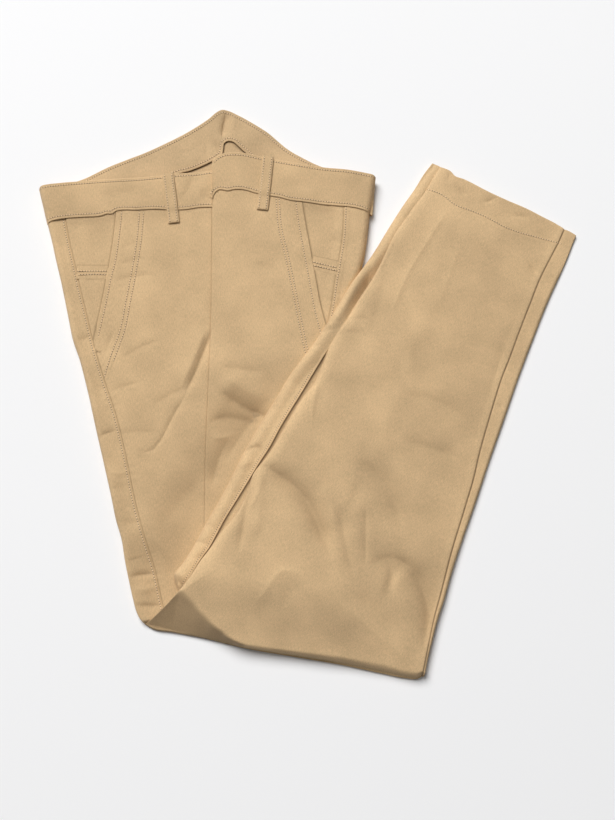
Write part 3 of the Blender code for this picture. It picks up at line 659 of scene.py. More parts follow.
# %% Height of every piece
GAP_UNDER = 1.4  # the seat stays this far under the cloth in the gap
INSIDE_STEP = 2.2  # the cloth inside the back lies this far under the waistband
SEAM_SINK = 1.6  # the front and back dip towards the outseam
BACK_SINK_WIDTH = 22
FRONT_SINK_WIDTH = 14
FURROW_DEPTH = 0.16
FURROW_WIDTH = 1.4
STEP_WIDTH = 9
PUCKER_LENGTH = 8.3


def back_band_height(x, y):
    """The waistband's back, rising behind the fronts."""
    _, upper = band_edges(x)
    back = np.interp(x, *BACK_EDGE.T)
    share = (y - upper) / np.maximum(back - upper, 1.0)
    return BACK_BAND_LOW + (BACK_BAND_HIGH - BACK_BAND_LOW) * ease(1 - share) + crease_height("back", x, y)


def seam_marks(name, x, y):
    """Ditches at the seams, the step where the allowance lies under one side, and the stitched furrows."""
    height = np.zeros(np.shape(x))
    for seam in SEAMS.get(name, ()):
        side, share = from_line(seam["line"], x, y)
        side = side * seam["high"]
        height += seam["step"] * ease((STEP_WIDTH - np.abs(side)) / 4) * (side > 0) * ease(side / 0.8)
        height -= seam["ditch"] * np.exp(-((side / 1.1) ** 2))
        travelled = share * lengths(seam["line"])[-1]
        uneven = 2.2 * soft_noise(travelled, 0 * travelled, 19, 5)
        ripple = np.sin(travelled * 2 * math.pi / PUCKER_LENGTH + uneven)
        height += seam["pucker"] * ripple * np.exp(-np.abs(side) / 7) * soft_noise(travelled, side * 0, 31, 9)
    for line, away in FURROWS.get(name, ()):
        side, _ = from_line(line, x, y)
        height -= FURROW_DEPTH * np.exp(-(((side - away) / FURROW_WIDTH) ** 2))
    return height


def height_of(name, x, y):
    """Height over the table of a piece's outer face."""
    x = np.asarray(x, float)
    y = np.asarray(y, float)
    if name.startswith("right_leg"):
        height = leg_height(x, y)
    elif name == "left_leg_back":
        height = under_leg_height(x, y)
    elif name == "left_leg_gap":
        height = gap_height(x, y)
    elif name == "waistband_back":
        height = back_band_height(x, y)
    elif name == "back_inside":
        height = back_band_height(x, y) - INSIDE_STEP
    else:
        height = seat_height(x, y)
        if name in ("left_front", "pocket_facing_left", "left_back", "waistband_left_front"):
            height = height + lap(x, y)
        if name in ("right_back", "right_front"):
            beside_seam = np.abs(from_line(OUTSEAM, x, y)[0])
            width = BACK_SINK_WIDTH if name == "right_back" else FRONT_SINK_WIDTH
            height = height - SEAM_SINK * ease(1 - beside_seam / width)
        if name.startswith("pocket_facing"):
            seam_line = OUTSEAM if name.endswith("right") else RIGHT_SEAM
            from_seam = np.abs(from_line(seam_line, x, y)[0])
            height = height - FACING_DROP * ease(from_seam / 12) * ease((band_edges(x)[0] - y - 1) / 12 + 0.2)
        if name.startswith("waistband"):
            height = height + BAND_RISE + crease_height("band", x, y)
        if name in ("left_back", "left_front"):
            under_cloth = from_line(UNDER_LEG_LEFT, x, y)[0] < -5
            height = np.where(under_cloth, np.minimum(height, gap_height(x, y) - GAP_UNDER), height)
    return height + seam_marks(name, x, y)


thigh = seat_height(np.array([-180.0]), np.array([100.0]))
print("thigh below the right pocket:", round(float(thigh[0]), 1), "mm high")

# %% [markdown]
# ## Stitched lines
# A pressed seam is a small ditch. The side that the allowance lies under stands higher, and a row of
# stitches holds it down in a furrow, with little puckers where the thread pulled.

# %% Stitch rows and seams
def seam(line, high=1, step=0.5, ditch=0.5, pucker=0.25, dark=0.4, reach=0.8, shift=0.0):
    """How a seam looks: which side stands higher, by how much, and how dark and wide its ditch is."""
    return {"line": line, "high": high, "step": step, "ditch": ditch, "pucker": pucker,
            "dark": dark, "reach": reach, "shift": shift}


MOUTH_STITCH_RIGHT = curve((
    (-243.8, 71.2), (-233.6, 123), (-228, 156), (-224.6, 171.5), (-220.9, 201.5), (-218, 235)))
MOUTH_STITCH_LEFT = curve((
    (16, 84), (14.4, 91), (8.7, 113.9), (2.9, 145.2), (-2.9, 178.7), (-10.5, 221.7), (-14, 249)))
BAG_STITCH_RIGHT = curve((
    (-233, 36), (-223.9, 66.9), (-216.9, 88.1), (-210.4, 125.4), (-204.7, 161.7), (-200, 196), (-197.4, 235)))
BAG_STITCH_LEFT = curve((
    (4, 40), (-2.9, 66.1), (-13, 115), (-18.8, 145.2), (-26.3, 181.7), (-33.6, 212.4), (-37, 252)))
HEM_STITCH = curve((
    (140, 265), (160, 256), (173, 245), (192, 237), (213, 228), (234, 217), (253, 211), (267, 208),
    (282, 204), (296, 200), (311, 194)))
# dark is how dark a seam's line is painted: a dark joint on a sewn seam, painted shade where one piece's edge
# lies over another
SEAMS = {
    "right_back": (seam(OUTSEAM, step=0.35, ditch=0.3, dark=0.3),),
    "right_front": (
        seam(OUTSEAM_LOW, step=0.0, ditch=0.3, dark=0.3),
        # painted shade on the right front under the left front's edge at the fly
        seam(FLY, step=0.0, ditch=0.6, dark=0.5, shift=-0.4)),
    "pocket_facing_right": (
        seam(OUTSEAM, step=0.0, ditch=0.3, dark=0.3),
        # painted shade on the facing under the front's turned mouth edge
        seam(RIGHT_MOUTH, step=0.0, ditch=0.0, pucker=0.0, dark=0.5, reach=1.2, shift=-0.9)),
    "left_back": (seam(RIGHT_SEAM, high=-1, step=0.35, ditch=0.3, dark=0.3),),
    "pocket_facing_left": (
        seam(RIGHT_SEAM, high=-1, step=0.0, ditch=0.3, dark=0.3),
        # painted shade on the facing under the front's turned mouth edge
        seam(LEFT_MOUTH, step=0.0, ditch=0.0, pucker=0.0, dark=0.6, reach=1.2, shift=0.9)),
    # painted shadow under the back waistband's lower edge
    "back_inside": (seam(BACK_INNER, step=0.0, ditch=0.0, pucker=0.0, dark=0.9, reach=1.7, shift=0.4),),
    "right_leg_back": (seam(INSEAM, high=1, step=0.3, ditch=0.7, pucker=0.2, dark=0.8),),
    "right_leg_front": (seam(INSEAM, high=1, step=0.0, ditch=0.7, pucker=0.2, dark=0.8),),
    # painted shade deep in the gap beside the under leg's seam, under the upper leg's edge
    "left_leg_gap": (seam(UNDER_LEG_SEAM, step=0.0, ditch=0.0, pucker=0.0, dark=1.0, reach=2.4, shift=0.8),),
}
FURROWS = {
    "right_back": ((OUTSEAM, 3.2),),
    "right_front": ((MOUTH_STITCH_RIGHT, 0.0), (BAG_STITCH_RIGHT, 0.0), (BAG_STITCH_RIGHT, -5.0)),
    "left_front": ((MOUTH_STITCH_LEFT, 0.0), (BAG_STITCH_LEFT, 0.0), (BAG_STITCH_LEFT, -3.6)),
    "left_back": ((RIGHT_SEAM, -2.6),),
    "waistband_right_front": ((BAND_BOTTOM_RIGHT, 3.0), (BAND_TOP_RIGHT, -2.6)),
    "waistband_left_front": ((BAND_BOTTOM_LEFT, 3.0), (BAND_TOP_LEFT, -2.6)),
    "right_leg_back": ((HEM_STITCH, 0.0),),
    "right_leg_front": ((HEM_STITCH, 0.0),),
    "left_leg_back": ((UNDER_LEG_SEAM, 2.4),),
    "waistband_back": ((BACK_EDGE, -3.0), (BACK_INNER, 3.4)),
}
print("seams with a ditch:", sum(len(found) for found in SEAMS.values()))

# %% [markdown]
# ## Cloth
# Cotton twill shows fine slanting ribs. Up close they are half a millimetre apart, from a step away they
# turn into a soft grain. An image of cloth would repeat and go soft close up, so nodes work the weave out.
# It is a node group with inputs for its rib width and tone, so that the outside, the inside and the thread
# share one recipe. It reads the flat pattern's own coordinates, which each panel keeps as a UV map, so the
# grain turns with the leg.


# %% Node helpers
def new_node(tree, kind, place, **values):
    """A node with some of its sockets or settings filled in."""
    node = tree.nodes.new(kind)
    node.location = place
    for key, value in values.items():
        if key in node.inputs:
            node.inputs[key].default_value = value
        else:
            setattr(node, key, value)
    return node


def math_node(tree, operation, a, b, place, c=None):
    """The result of one sum; a, b and c are numbers or other nodes' results."""
    node = tree.nodes.new("ShaderNodeMath")
    node.operation = operation
    node.location = place
    for socket, value in zip(node.inputs, (a, b, c)):
        if isinstance(value, (int, float)):
            socket.default_value = value
        elif value is not None:
            tree.links.new(value, socket)
    return node.outputs[0]


print("node groups so far:", len(bpy.data.node_groups))


# %% The twill weave
def make_weave_group():
    """Colour, relief and dullness of twill, darker where a mesh's ditch value says so: dark seams and painted
    shade.
    """
    tree = bpy.data.node_groups.new("twill_weave", "ShaderNodeTree")
    for name, kind, value in (
        ("Flat Place", "NodeSocketVector", None),
        ("Rib Width", "NodeSocketFloat", 0.55),
        ("Tone Change", "NodeSocketFloat", 0.06),
        ("Cloth Colour", "NodeSocketColor", (0.6, 0.43, 0.25, 1)),
        ("Ditch Colour", "NodeSocketColor", (0.3, 0.2, 0.1, 1)),
    ):
        socket = tree.interface.new_socket(name, in_out="INPUT", socket_type=kind)
        if value is not None:
            socket.default_value = value
    tree.interface.new_socket("Colour", in_out="OUTPUT", socket_type="NodeSocketColor")
    tree.interface.new_socket("Relief", in_out="OUTPUT", socket_type="NodeSocketFloat")
    tree.interface.new_socket("Dullness", in_out="OUTPUT", socket_type="NodeSocketFloat")
    start = new_node(tree, "NodeGroupInput", (-1200, 0))
    end = new_node(tree, "NodeGroupOutput", (900, 0))
    split = new_node(tree, "ShaderNodeSeparateXYZ", (-1000, 200))
    tree.links.new(start.outputs["Flat Place"], split.inputs[0])
    # ribs run up to the right; the yarn wavers a little
    waver = new_node(tree, "ShaderNodeTexNoise", (-1000, -100), Scale=0.35, Detail=2.0)
    tree.links.new(start.outputs["Flat Place"], waver.inputs["Vector"])
    steep = math_node(tree, "MULTIPLY", split.outputs["Y"], 0.62, (-820, 100))
    slant = math_node(tree, "SUBTRACT", split.outputs["X"], steep, (-700, 200))
    push = math_node(tree, "MULTIPLY", waver.outputs["Fac"], 0.8, (-700, 0))
    slant = math_node(tree, "ADD", slant, push, (-560, 200))
    turns = math_node(tree, "DIVIDE", slant, start.outputs["Rib Width"], (-420, 200))
    turns = math_node(tree, "MULTIPLY", turns, 2 * math.pi, (-280, 200))
    rib = math_node(tree, "SINE", turns, None, (-140, 200))
    rib = math_node(tree, "MULTIPLY_ADD", rib, 0.5, (0, 200), c=0.5)
    # warp yarns: fine upright streaks; grain: the mottled look from a step away
    stretch = new_node(tree, "ShaderNodeMapping", (-820, -300))
    stretch.inputs["Scale"].default_value = (1.0, 0.22, 1.0)
    tree.links.new(start.outputs["Flat Place"], stretch.inputs["Vector"])
    yarn = new_node(tree, "ShaderNodeTexNoise", (-600, -300), Scale=1.1, Detail=3.0)
    tree.links.new(stretch.outputs[0], yarn.inputs["Vector"])
    grain = new_node(tree, "ShaderNodeTexNoise", (-600, -560), Scale=0.62, Detail=4.0, Roughness=0.7)
    tree.links.new(start.outputs["Flat Place"], grain.inputs["Vector"])
    cloud = new_node(tree, "ShaderNodeTexNoise", (-600, -820), Scale=0.022, Detail=3.0)
    tree.links.new(start.outputs["Flat Place"], cloud.inputs["Vector"])
    tone = math_node(tree, "ADD", yarn.outputs["Fac"], grain.outputs["Fac"], (-380, -400))
    tone = math_node(tree, "SUBTRACT", tone, 1.0, (-260, -400))
    drift = math_node(tree, "SUBTRACT", cloud.outputs["Fac"], 0.5, (-380, -800))
    tone = math_node(tree, "ADD", tone, drift, (-140, -500))
    fine = math_node(tree, "MULTIPLY", rib, 0.35, (0, -300))
    tone = math_node(tree, "ADD", tone, fine, (100, -400))
    tone = math_node(tree, "MULTIPLY", tone, start.outputs["Tone Change"], (220, -400))
    tone = math_node(tree, "ADD", tone, 1.0, (340, -400))
    lit = new_node(tree, "ShaderNodeVectorMath", (480, -300), operation="SCALE")
    tree.links.new(start.outputs["Cloth Colour"], lit.inputs[0])
    tree.links.new(tone, lit.inputs["Scale"])
    # ditch: dark seams and painted shade, mixed towards the ditch colour
    ditch = new_node(tree, "ShaderNodeAttribute", (300, -700), attribute_name="ditch")
    mix = new_node(tree, "ShaderNodeMix", (680, -300), data_type="RGBA")
    tree.links.new(ditch.outputs["Fac"], mix.inputs[0])
    tree.links.new(lit.outputs[0], mix.inputs[6])
    tree.links.new(start.outputs["Ditch Colour"], mix.inputs[7])
    tree.links.new(mix.outputs[2], end.inputs["Colour"])
    relief = math_node(tree, "MULTIPLY", grain.outputs["Fac"], 0.9, (100, -40))
    relief = math_node(tree, "ADD", relief, rib, (220, 0))
    relief = math_node(tree, "ADD", relief, yarn.outputs["Fac"], (340, 0))
    tree.links.new(relief, end.inputs["Relief"])
    dull = math_node(tree, "MULTIPLY_ADD", grain.outputs["Fac"], 0.14, (480, -120), c=0.8)
    tree.links.new(dull, end.inputs["Dullness"])
    return tree


WEAVE = make_weave_group()
print(WEAVE.name, "has", len(WEAVE.nodes), "nodes")


# %% Cloth materials
def twill(name, colour, ditch, rib=0.55, tone=0.58, bump=0.00024, sheen=0.12):
    """A cloth material: ditch is its colour in the dark seams and the painted shade, bump the height of its
    relief in metres.
    """
    material = bpy.data.materials.new(name)
    material.use_nodes = True
    tree = material.node_tree
    shader = tree.nodes["Principled BSDF"]
    shader.inputs["Sheen Weight"].default_value = sheen
    shader.inputs["Sheen Roughness"].default_value = 0.6
    shader.inputs["Sheen Tint"].default_value = (1.0, 0.93, 0.82, 1.0)
    shader.inputs["Specular IOR Level"].default_value = 0.25
    weave = new_node(tree, "ShaderNodeGroup", (-400, 0), node_tree=WEAVE)
    weave.inputs["Rib Width"].default_value = rib
    weave.inputs["Tone Change"].default_value = tone
    weave.inputs["Cloth Colour"].default_value = (*colour, 1)
    weave.inputs["Ditch Colour"].default_value = (*ditch, 1)
    flat = new_node(tree, "ShaderNodeUVMap", (-800, 0), uv_map="flat")
    scale = new_node(tree, "ShaderNodeVectorMath", (-600, 0), operation="SCALE")
    scale.inputs["Scale"].default_value = 1000.0
    tree.links.new(flat.outputs[0], scale.inputs[0])
    tree.links.new(scale.outputs[0], weave.inputs["Flat Place"])
    tree.links.new(weave.outputs["Colour"], shader.inputs["Base Color"])
    tree.links.new(weave.outputs["Dullness"], shader.inputs["Roughness"])
    bumps = new_node(tree, "ShaderNodeBump", (-200, -300), Strength=0.6, Distance=bump)
    tree.links.new(weave.outputs["Relief"], bumps.inputs["Height"])
    tree.links.new(bumps.outputs[0], shader.inputs["Normal"])
    return material


OUTSIDE = twill("khaki_twill", (0.62, 0.43, 0.235), (0.15, 0.09, 0.042))
INSIDE = twill("khaki_twill_inside", (0.55, 0.385, 0.215), (0.13, 0.08, 0.04), rib=0.62, tone=0.58)
THREAD = twill(
    "khaki_thread", (0.86, 0.64, 0.40), (0.12, 0.072, 0.034), rib=0.35, tone=0.12, bump=0.00006, sheen=0.2)
print("materials:", OUTSIDE.name, INSIDE.name, THREAD.name)


# %% [markdown]
# ## Panels
# A panel of cloth is thin, and only its outer face and its edges show, so one surface is enough for it.
# Here it is a net stretched between four border curves (a Coons patch), dense enough to take the creases.
# A plain grid would leave stair steps along the slanting seams; this net follows them.
# Round its border runs a rim of a few rows: a turned edge curls over its own thickness, a sewn edge dives
# into the seam, a folded side rolls down to the table and under.

# %% Rims
# kind: millimetres outward, then either millimetres down or the share kept of the height, row by row
RIMS = {
    "lip": ((0.35, 0.6, 0.62, 0.35, -0.8, -4.0), (0.12, 0.45, 0.9, 1.35, 1.6, 1.7), None),
    "thick": ((0.5, 0.85, 0.9, 0.6, -0.6, -4.0), (0.2, 0.7, 1.5, 2.2, 2.6, 2.7), None),
    "tuck": ((0.1, 0.15, 0.15, 0.15, 0.1, 0.0), (0.35, 0.7, 1.0, 1.2, 1.4, 1.6), None),
    "under": ((1.0, 2.0, 3.0, 4.0, 5.0, 6.0), (0.1, 0.2, 0.3, 0.4, 0.5, 0.6), None),
    "roll": ((0.6, 0.8, 0.5, -0.3, -1.6, -3.5), None, (0.84, 0.6, 0.36, 0.16, 0.04, 0.0)),
    "half": ((0.6, 0.9, 0.7, 0.0, -1.5, -6.0), None, (0.86, 0.7, 0.54, 0.38, 0.26, 0.2)),
    "curl": ((0.5, 0.8, 0.7, 0.2, -1.4, -6.0), None, (0.84, 0.62, 0.4, 0.2, 0.08, 0.03)),
}
RIM_ROWS = 6
print("kinds of rim:", ", ".join(RIMS))


# %% Nets between seams
def spread(length, step):
    """Shares from 0 to 1 about step apart, with closer rows beside both ends."""
    near = np.array((0.0, 0.45, 1.0, 1.8)) / length
    count = max(3, round((length - 4.4) / step))
    inner = np.linspace(2.8 / length, 1 - 2.8 / length, count)
    return np.concatenate((near, inner, 1 - near[::-1]))


def net_between(left, right, bottom, top, step):
    """Places of a patch between four curves, as rows from bottom to top."""
    width = max(lengths(bottom)[-1], lengths(top)[-1])
    height = max(lengths(left)[-1], lengths(right)[-1])
    u = spread(max(width, 8.0), step)
    v = spread(height, step)
    sides = at(left, v)[:, None] * (1 - u[None, :, None]) + at(right, v)[:, None] * u[None, :, None]
    ends = at(bottom, u)[None] * (1 - v[:, None, None]) + at(top, u)[None] * v[:, None, None]
    corners = (
        (1 - v[:, None, None]) * ((1 - u[None, :, None]) * bottom[0] + u[None, :, None] * bottom[-1])
        + v[:, None, None] * ((1 - u[None, :, None]) * top[0] + u[None, :, None] * top[-1])
    )
    return sides + ends - corners


def joined(left, right, inner=()):
    """A border from one place to another, through inner points."""
    return curve((tuple(left), *inner, tuple(right)))


print("points across 100 mm:", len(spread(100.0, FINE)))


# %% Making a mesh
def new_object(name, points, faces, flat, ditch, material):
    """A smooth mesh in metres, with its flat pattern as UV map and its dark seams and painted shade as an
    attribute.
    """
    mesh = bpy.data.meshes.new(name)
    moved = (np.asarray(points) - (*PILE_MIDDLE, 0.0)) * MM
    mesh.from_pydata(moved.tolist(), [], faces)
    mesh.shade_smooth()
    loops = np.empty(len(mesh.loops), np.int32)
    mesh.loops.foreach_get("vertex_index", loops)
    layer = mesh.uv_layers.new(name="flat")
    layer.data.foreach_set("uv", (np.asarray(flat)[loops] * MM).ravel())
    mark = mesh.attributes.new("ditch", "FLOAT", "POINT")
    mark.data.foreach_set("value", np.asarray(ditch, np.float32))
    mesh.materials.append(material)
    # the construction model's nodes have the plain names, so cloth gets a longer one
    piece = bpy.data.objects.new(name if name.startswith("stitches") else "cloth_" + name, mesh)
    bpy.context.scene.collection.objects.link(piece)
    return piece


def ring_normals(ring):
    """The way out of a closed border at each point, and how straight the border runs there."""
    ahead = np.roll(ring, -1, axis=0) - ring
    behind = ring - np.roll(ring, 1, axis=0)
    ahead /= np.maximum(np.linalg.norm(ahead, axis=1)[:, None], 1e-9)
    behind /= np.maximum(np.linalg.norm(behind, axis=1)[:, None], 1e-9)
    along = (ahead + behind) / 2
    straight = np.linalg.norm(along, axis=1)
    along /= np.maximum(straight[:, None], 1e-9)
    return np.column_stack((along[:, 1], -along[:, 0])), straight**3


print("the pile's middle, moved to the origin:", PILE_MIDDLE)


# %% Dark seams and painted shade
# painted shade: how much darker the cloth is painted in the crease troughs, on the fold's flat face and on
# the lower thighs
CREASE_SHADE = 0.24  # in the deepest creases
FACE_SHADE = 0.42  # on the flat face at the fold's corner
THIGH_SHADE = 0.08  # on the lower thighs


def dark_seam_and_shade_mask(name, x, y):
    """How dark each place is: dark seams, and painted shade in the furrows under stitches and beside an edge
    that lies on top.
    """
    dark = np.zeros(np.shape(x))
    # a dark line along each seam: a dark joint on a sewn seam, painted shade where one piece's edge lies over
    # another
    for seam_line in SEAMS.get(name, ()):
        side, _ = from_line(seam_line["line"], x, y)
        away = (side + seam_line["shift"]) / seam_line["reach"]
        dark = np.maximum(dark, seam_line["dark"] * np.exp(-(away**2)))
    # painted shade in the furrow under each stitched row
    for line, away in FURROWS.get(name, ()):
        side, _ = from_line(line, x, y)
        dark = np.maximum(dark, 0.1 * np.exp(-(((side - away) / 1.0) ** 2)))
    return dark


def painted_cloth_shade(name, x, y):
    """Painted shade, held in the colour under any light: darker in the crease troughs, towards the lower
    thighs and on the flat face at the fold's corner.
    """
    zone = "leg" if name.startswith("right_leg") else "hip"
    if name.startswith(("waistband", "back_inside", "left_leg")):
        return np.zeros(np.shape(x))
    # painted shade in the troughs of the creases, darker in deeper troughs
    painted_shade = CREASE_SHADE * np.clip(-crease_height(zone, x, y) / 7.0, 0, 1)
    if zone == "hip":
        # painted shade: the seat and thighs darker towards the fold
        painted_shade += THIGH_SHADE * ease((70 - y) / 190)
    if name == "right_leg_back":
        # painted shade on the flat face at the fold's corner, which faces away from the light
        painted_shade += FACE_SHADE * ease(1 - (face_height(x, y) - leg_height(x, y)) / 3)
    return painted_shade


print("dust at most", max(CREASE_SHADE, FACE_SHADE, THIGH_SHADE))


# %% A cloth panel
def on_table(x, y):
    """The table's height."""
    return 0.0 * x


def panel(name, left, right, bottom, top, rims, material, step=FINE, leg=False, ground=on_table):
    """A cloth panel between four borders. rims names the edge at its bottom, right, top and left.

    A leg's grain runs along the leg. ground gives the height that a rolled edge comes down to.
    """
    net = net_between(left, right, bottom, top, step)
    rows, columns = net.shape[:2]
    x, y = net[..., 0], net[..., 1]
    z = height_of(name, x, y)
    points = [np.column_stack((x.ravel(), y.ravel(), z.ravel()))]
    number = np.arange(rows * columns).reshape(rows, columns)
    faces = [np.column_stack([part.ravel() for part in (
        number[:-1, :-1], number[:-1, 1:], number[1:, 1:], number[1:, :-1])])]
    border = np.concatenate((number[0, :-1], number[:-1, -1], number[-1, :0:-1], number[:0:-1, 0]))
    kinds = np.repeat(np.arange(4), (columns - 1, rows - 1, columns - 1, rows - 1))
    ring = points[0][border]
    foot = np.minimum(ground(ring[:, 0], ring[:, 1]), ring[:, 2])
    outward, straight = ring_normals(ring[:, :2])
    weights = np.eye(4)[kinds]
    smooth = weights.copy()
    for shift in range(1, 4):
        smooth += np.roll(weights, shift, axis=0) + np.roll(weights, -shift, axis=0)
    weights = smooth / smooth.sum(axis=1, keepdims=True)
    above = border
    count = rows * columns
    for k in range(RIM_ROWS):
        out = np.zeros(len(border))
        height = np.zeros(len(border))
        for kind, share in zip(rims, weights.T):
            away, down, kept = RIMS[kind]
            out += share * away[k]
            height += share * (ring[:, 2] - down[k] if down else foot + (ring[:, 2] - foot) * kept[k])
        out = np.where(out < 0, out * straight, out)
        places = ring[:, :2] + outward * out[:, None]
        points.append(np.column_stack((places, np.maximum(height, 0.0))))
        below = np.arange(count, count + len(border))
        faces.append(np.column_stack((above, below, np.roll(below, -1), np.roll(above, -1))))
        above = below
        count += len(border)
    points = np.vstack(points)
    faces = np.vstack(faces).tolist()
    if leg:
        flat = np.column_stack(leg_place(points[:, 0], points[:, 1])[::-1])
    else:
        flat = points[:, :2]
    flat = flat + np.column_stack((0 * points[:, 2], points[:, 2]))
    x, y = points[:, 0], points[:, 1]
    # dark seams and painted shade: the darker of the two
    dark = np.maximum(dark_seam_and_shade_mask(name, x, y), painted_cloth_shade(name, x, y))
    piece = new_object(name, points, faces, flat, dark, material)
    print(name, len(faces), "faces")
    return piece


def add_mesh(piece, other):
    """Put another piece's mesh into this one: two surfaces of one piece of cloth."""
    both = bmesh.new()
    both.from_mesh(piece.data)
    both.from_mesh(other.data)
    both.to_mesh(piece.data)
    both.free()
    bpy.data.objects.remove(other)


# %% [markdown]
# ## Seat and thighs
# The right front runs under the left one at the fly. The pocket facings lie a step lower than the fronts,
# whose slanted mouths are turned edges. Each panel is a piece of its own, as on a cutting table, because a
# single surface with drawn lines would show no cloth edge at the fly and the pockets.

# %% Seat panels
PIECES = {}


def seat_panels():
    """The two fronts, the strips of the backs that show beside them, and the pocket facings."""
    right_back_bottom = joined(LEFT_OUTLINE[0], OUTSEAM[0])
    right_back_top = joined(LEFT_OUTLINE[-1], OUTSEAM[-1])
    PIECES["right_back"] = panel(
        "right_back", LEFT_OUTLINE, OUTSEAM, right_back_bottom, right_back_top,
        ("tuck", "tuck", "under", "roll"), OUTSIDE)
    front_left = np.vstack((OUTSEAM_LOW[:-1], RIGHT_MOUTH))
    front_right = beside(FLY, 9.0)
    PIECES["right_front"] = panel(
        "right_front", front_left, front_right,
        joined(front_left[0], front_right[0]), joined(front_left[-1], front_right[-1]),
        ("tuck", "under", "under", "lip"), OUTSIDE, step=1.3)
    facing_left = part_of(OUTSEAM, 0.655, 1.0)
    facing_right = beside(RIGHT_MOUTH, 9.0)
    PIECES["pocket_facing_right"] = panel(
        "pocket_facing_right", facing_left, facing_right,
        joined(facing_left[0], facing_right[0]), joined(facing_left[-1], facing_right[-1]),
        ("under", "under", "under", "tuck"), OUTSIDE, step=1.3)
    PIECES["left_front"] = panel(
        "left_front", FLY, LEFT_MOUTH, joined(FLY[0], LEFT_MOUTH[0]), joined(FLY[-1], LEFT_MOUTH[-1]),
        ("under", "lip", "under", "lip"), OUTSIDE, step=1.5)
    facing_left = beside(LEFT_MOUTH, -9.0)
    PIECES["pocket_facing_left"] = panel(
        "pocket_facing_left", facing_left, RIGHT_SEAM,
        joined(facing_left[0], RIGHT_SEAM[0]), joined(facing_left[-1], RIGHT_SEAM[-1]),
        ("under", "tuck", "under", "under"), OUTSIDE, step=1.3)
    PIECES["left_back"] = panel(
        "left_back", RIGHT_SEAM, RIGHT_OUTLINE,
        joined(RIGHT_SEAM[0], RIGHT_OUTLINE[0]), joined(RIGHT_SEAM[-1], RIGHT_OUTLINE[-1]),
        ("under", "roll", "under", "tuck"), OUTSIDE, step=1.1)


seat_panels()
print("panels so far:", len(PIECES))

# %% [markdown]
# ## Waistband
# Two layers of cloth, stitched along both edges. Its back half shows its inner face, behind the fronts.
# It follows its own two edges, which wave a little, so it is made like the panels and not as a straight band.


# %% Waistband panels
def waistband_panels():
    """Both fronts of the waistband, its back, and the cloth that shows inside below the back."""
    for name, bottom, top, rims in (
        ("waistband_right_front", BAND_BOTTOM_RIGHT, BAND_TOP_RIGHT, ("lip", "under", "thick", "roll")),
        ("waistband_left_front", BAND_BOTTOM_LEFT, BAND_TOP_LEFT, ("lip", "roll", "thick", "thick")),
    ):
        left = joined(bottom[0], top[0])
        right = joined(bottom[-1], top[-1])
        PIECES[name] = panel(name, left, right, bottom, top, rims, OUTSIDE, step=1.1)
    left = joined(BACK_INNER[0], BACK_EDGE[0])
    right = joined(BACK_INNER[-1], BACK_EDGE[-1])
    PIECES["waistband_back"] = panel(
        "waistband_back", left, right, BACK_INNER, BACK_EDGE,
        ("lip", "under", "roll", "under"), INSIDE, step=1.1)
    x = np.linspace(-176, -50, 60)
    lower = np.column_stack((x, band_edges(x)[1] - 12.0))
    upper = np.column_stack((x, np.interp(x, *BACK_INNER.T) + 4.0))
    inside = panel(
        "back_inside", joined(lower[0], upper[0]), joined(lower[-1], upper[-1]), lower, upper,
        ("under", "under", "under", "under"), INSIDE, step=1.1)
    add_mesh(PIECES["waistband_back"], inside)


waistband_panels()
print("panels so far:", len(PIECES))

# %% [markdown]
# ## Folded legs
# Both legs are folded up along one line. The top leg shows its back from inseam to crease, the under leg
# shows only a rounded edge with its seam. The part of it that no one sees isn't made here: the layers
# underneath stand for it.


# %% Leg panels
def under_top_leg(x, y):
    """The under leg's height where the upper leg lies on it, and the table at the fold."""
    from_fold = np.maximum(from_line(FOLD, x, y)[0], 0)
    return (under_leg_height(x, y) + 0.4) * ease(from_fold / 24)


def leg_panels():
    """The upper leg on both sides of its inseam, and the edge of the lower one with the cloth past it."""
    PIECES["right_leg_back"] = panel(
        "right_leg_back", TOP_LEG_LEFT, INSEAM, FOLD, HEM,
        ("roll", "tuck", "thick", "curl"), OUTSIDE, step=1.6, leg=True, ground=under_top_leg)
    PIECES["right_leg_front"] = panel(
        "right_leg_front", INSEAM, TOP_LEG_RIGHT, joined(INSEAM[0], TOP_LEG_RIGHT[0]), HEM_RIGHT,
        ("roll", "half", "thick", "tuck"), OUTSIDE, step=1.1, leg=True)
    PIECES["left_leg_back"] = panel(
        "left_leg_back", UNDER_LEG_LEFT, UNDER_LEG_SEAM,
        joined(UNDER_LEG_LEFT[0], UNDER_LEG_SEAM[0]), joined(UNDER_LEG_LEFT[-1], UNDER_LEG_SEAM[-1]),
        ("lip", "lip", "thick", "curl"), OUTSIDE, step=1.1, leg=True)
    gap_left = beside(part_of(UNDER_LEG_SEAM, 0.02, 0.62), -2.5)
    gap_right = beside(part_of(UNDER_LEG_SEAM, 0.02, 0.62), 22.0)
    gap = panel(
        "left_leg_gap", gap_left, gap_right,
        joined(gap_left[0], gap_right[0]), joined(gap_left[-1], gap_right[-1]),
        ("under", "under", "under", "under"), OUTSIDE, step=1.3, leg=True)
    add_mesh(PIECES["left_leg_back"], gap)


leg_panels()
print("panels so far:", len(PIECES))

# %% [markdown]
# ## Sewing
# Each stitch is a short bead of thread that dips at both ends. A curve with a round bevel could make many
# at once, but not their flattened ends and the dark holes that they dive into, whose shade is painted on
# the bead's ends. So one bead is worked out as rings of points and laid along every row, all rows of a
# panel in one mesh.


# %% Stitches
STITCH_SIDES = 6
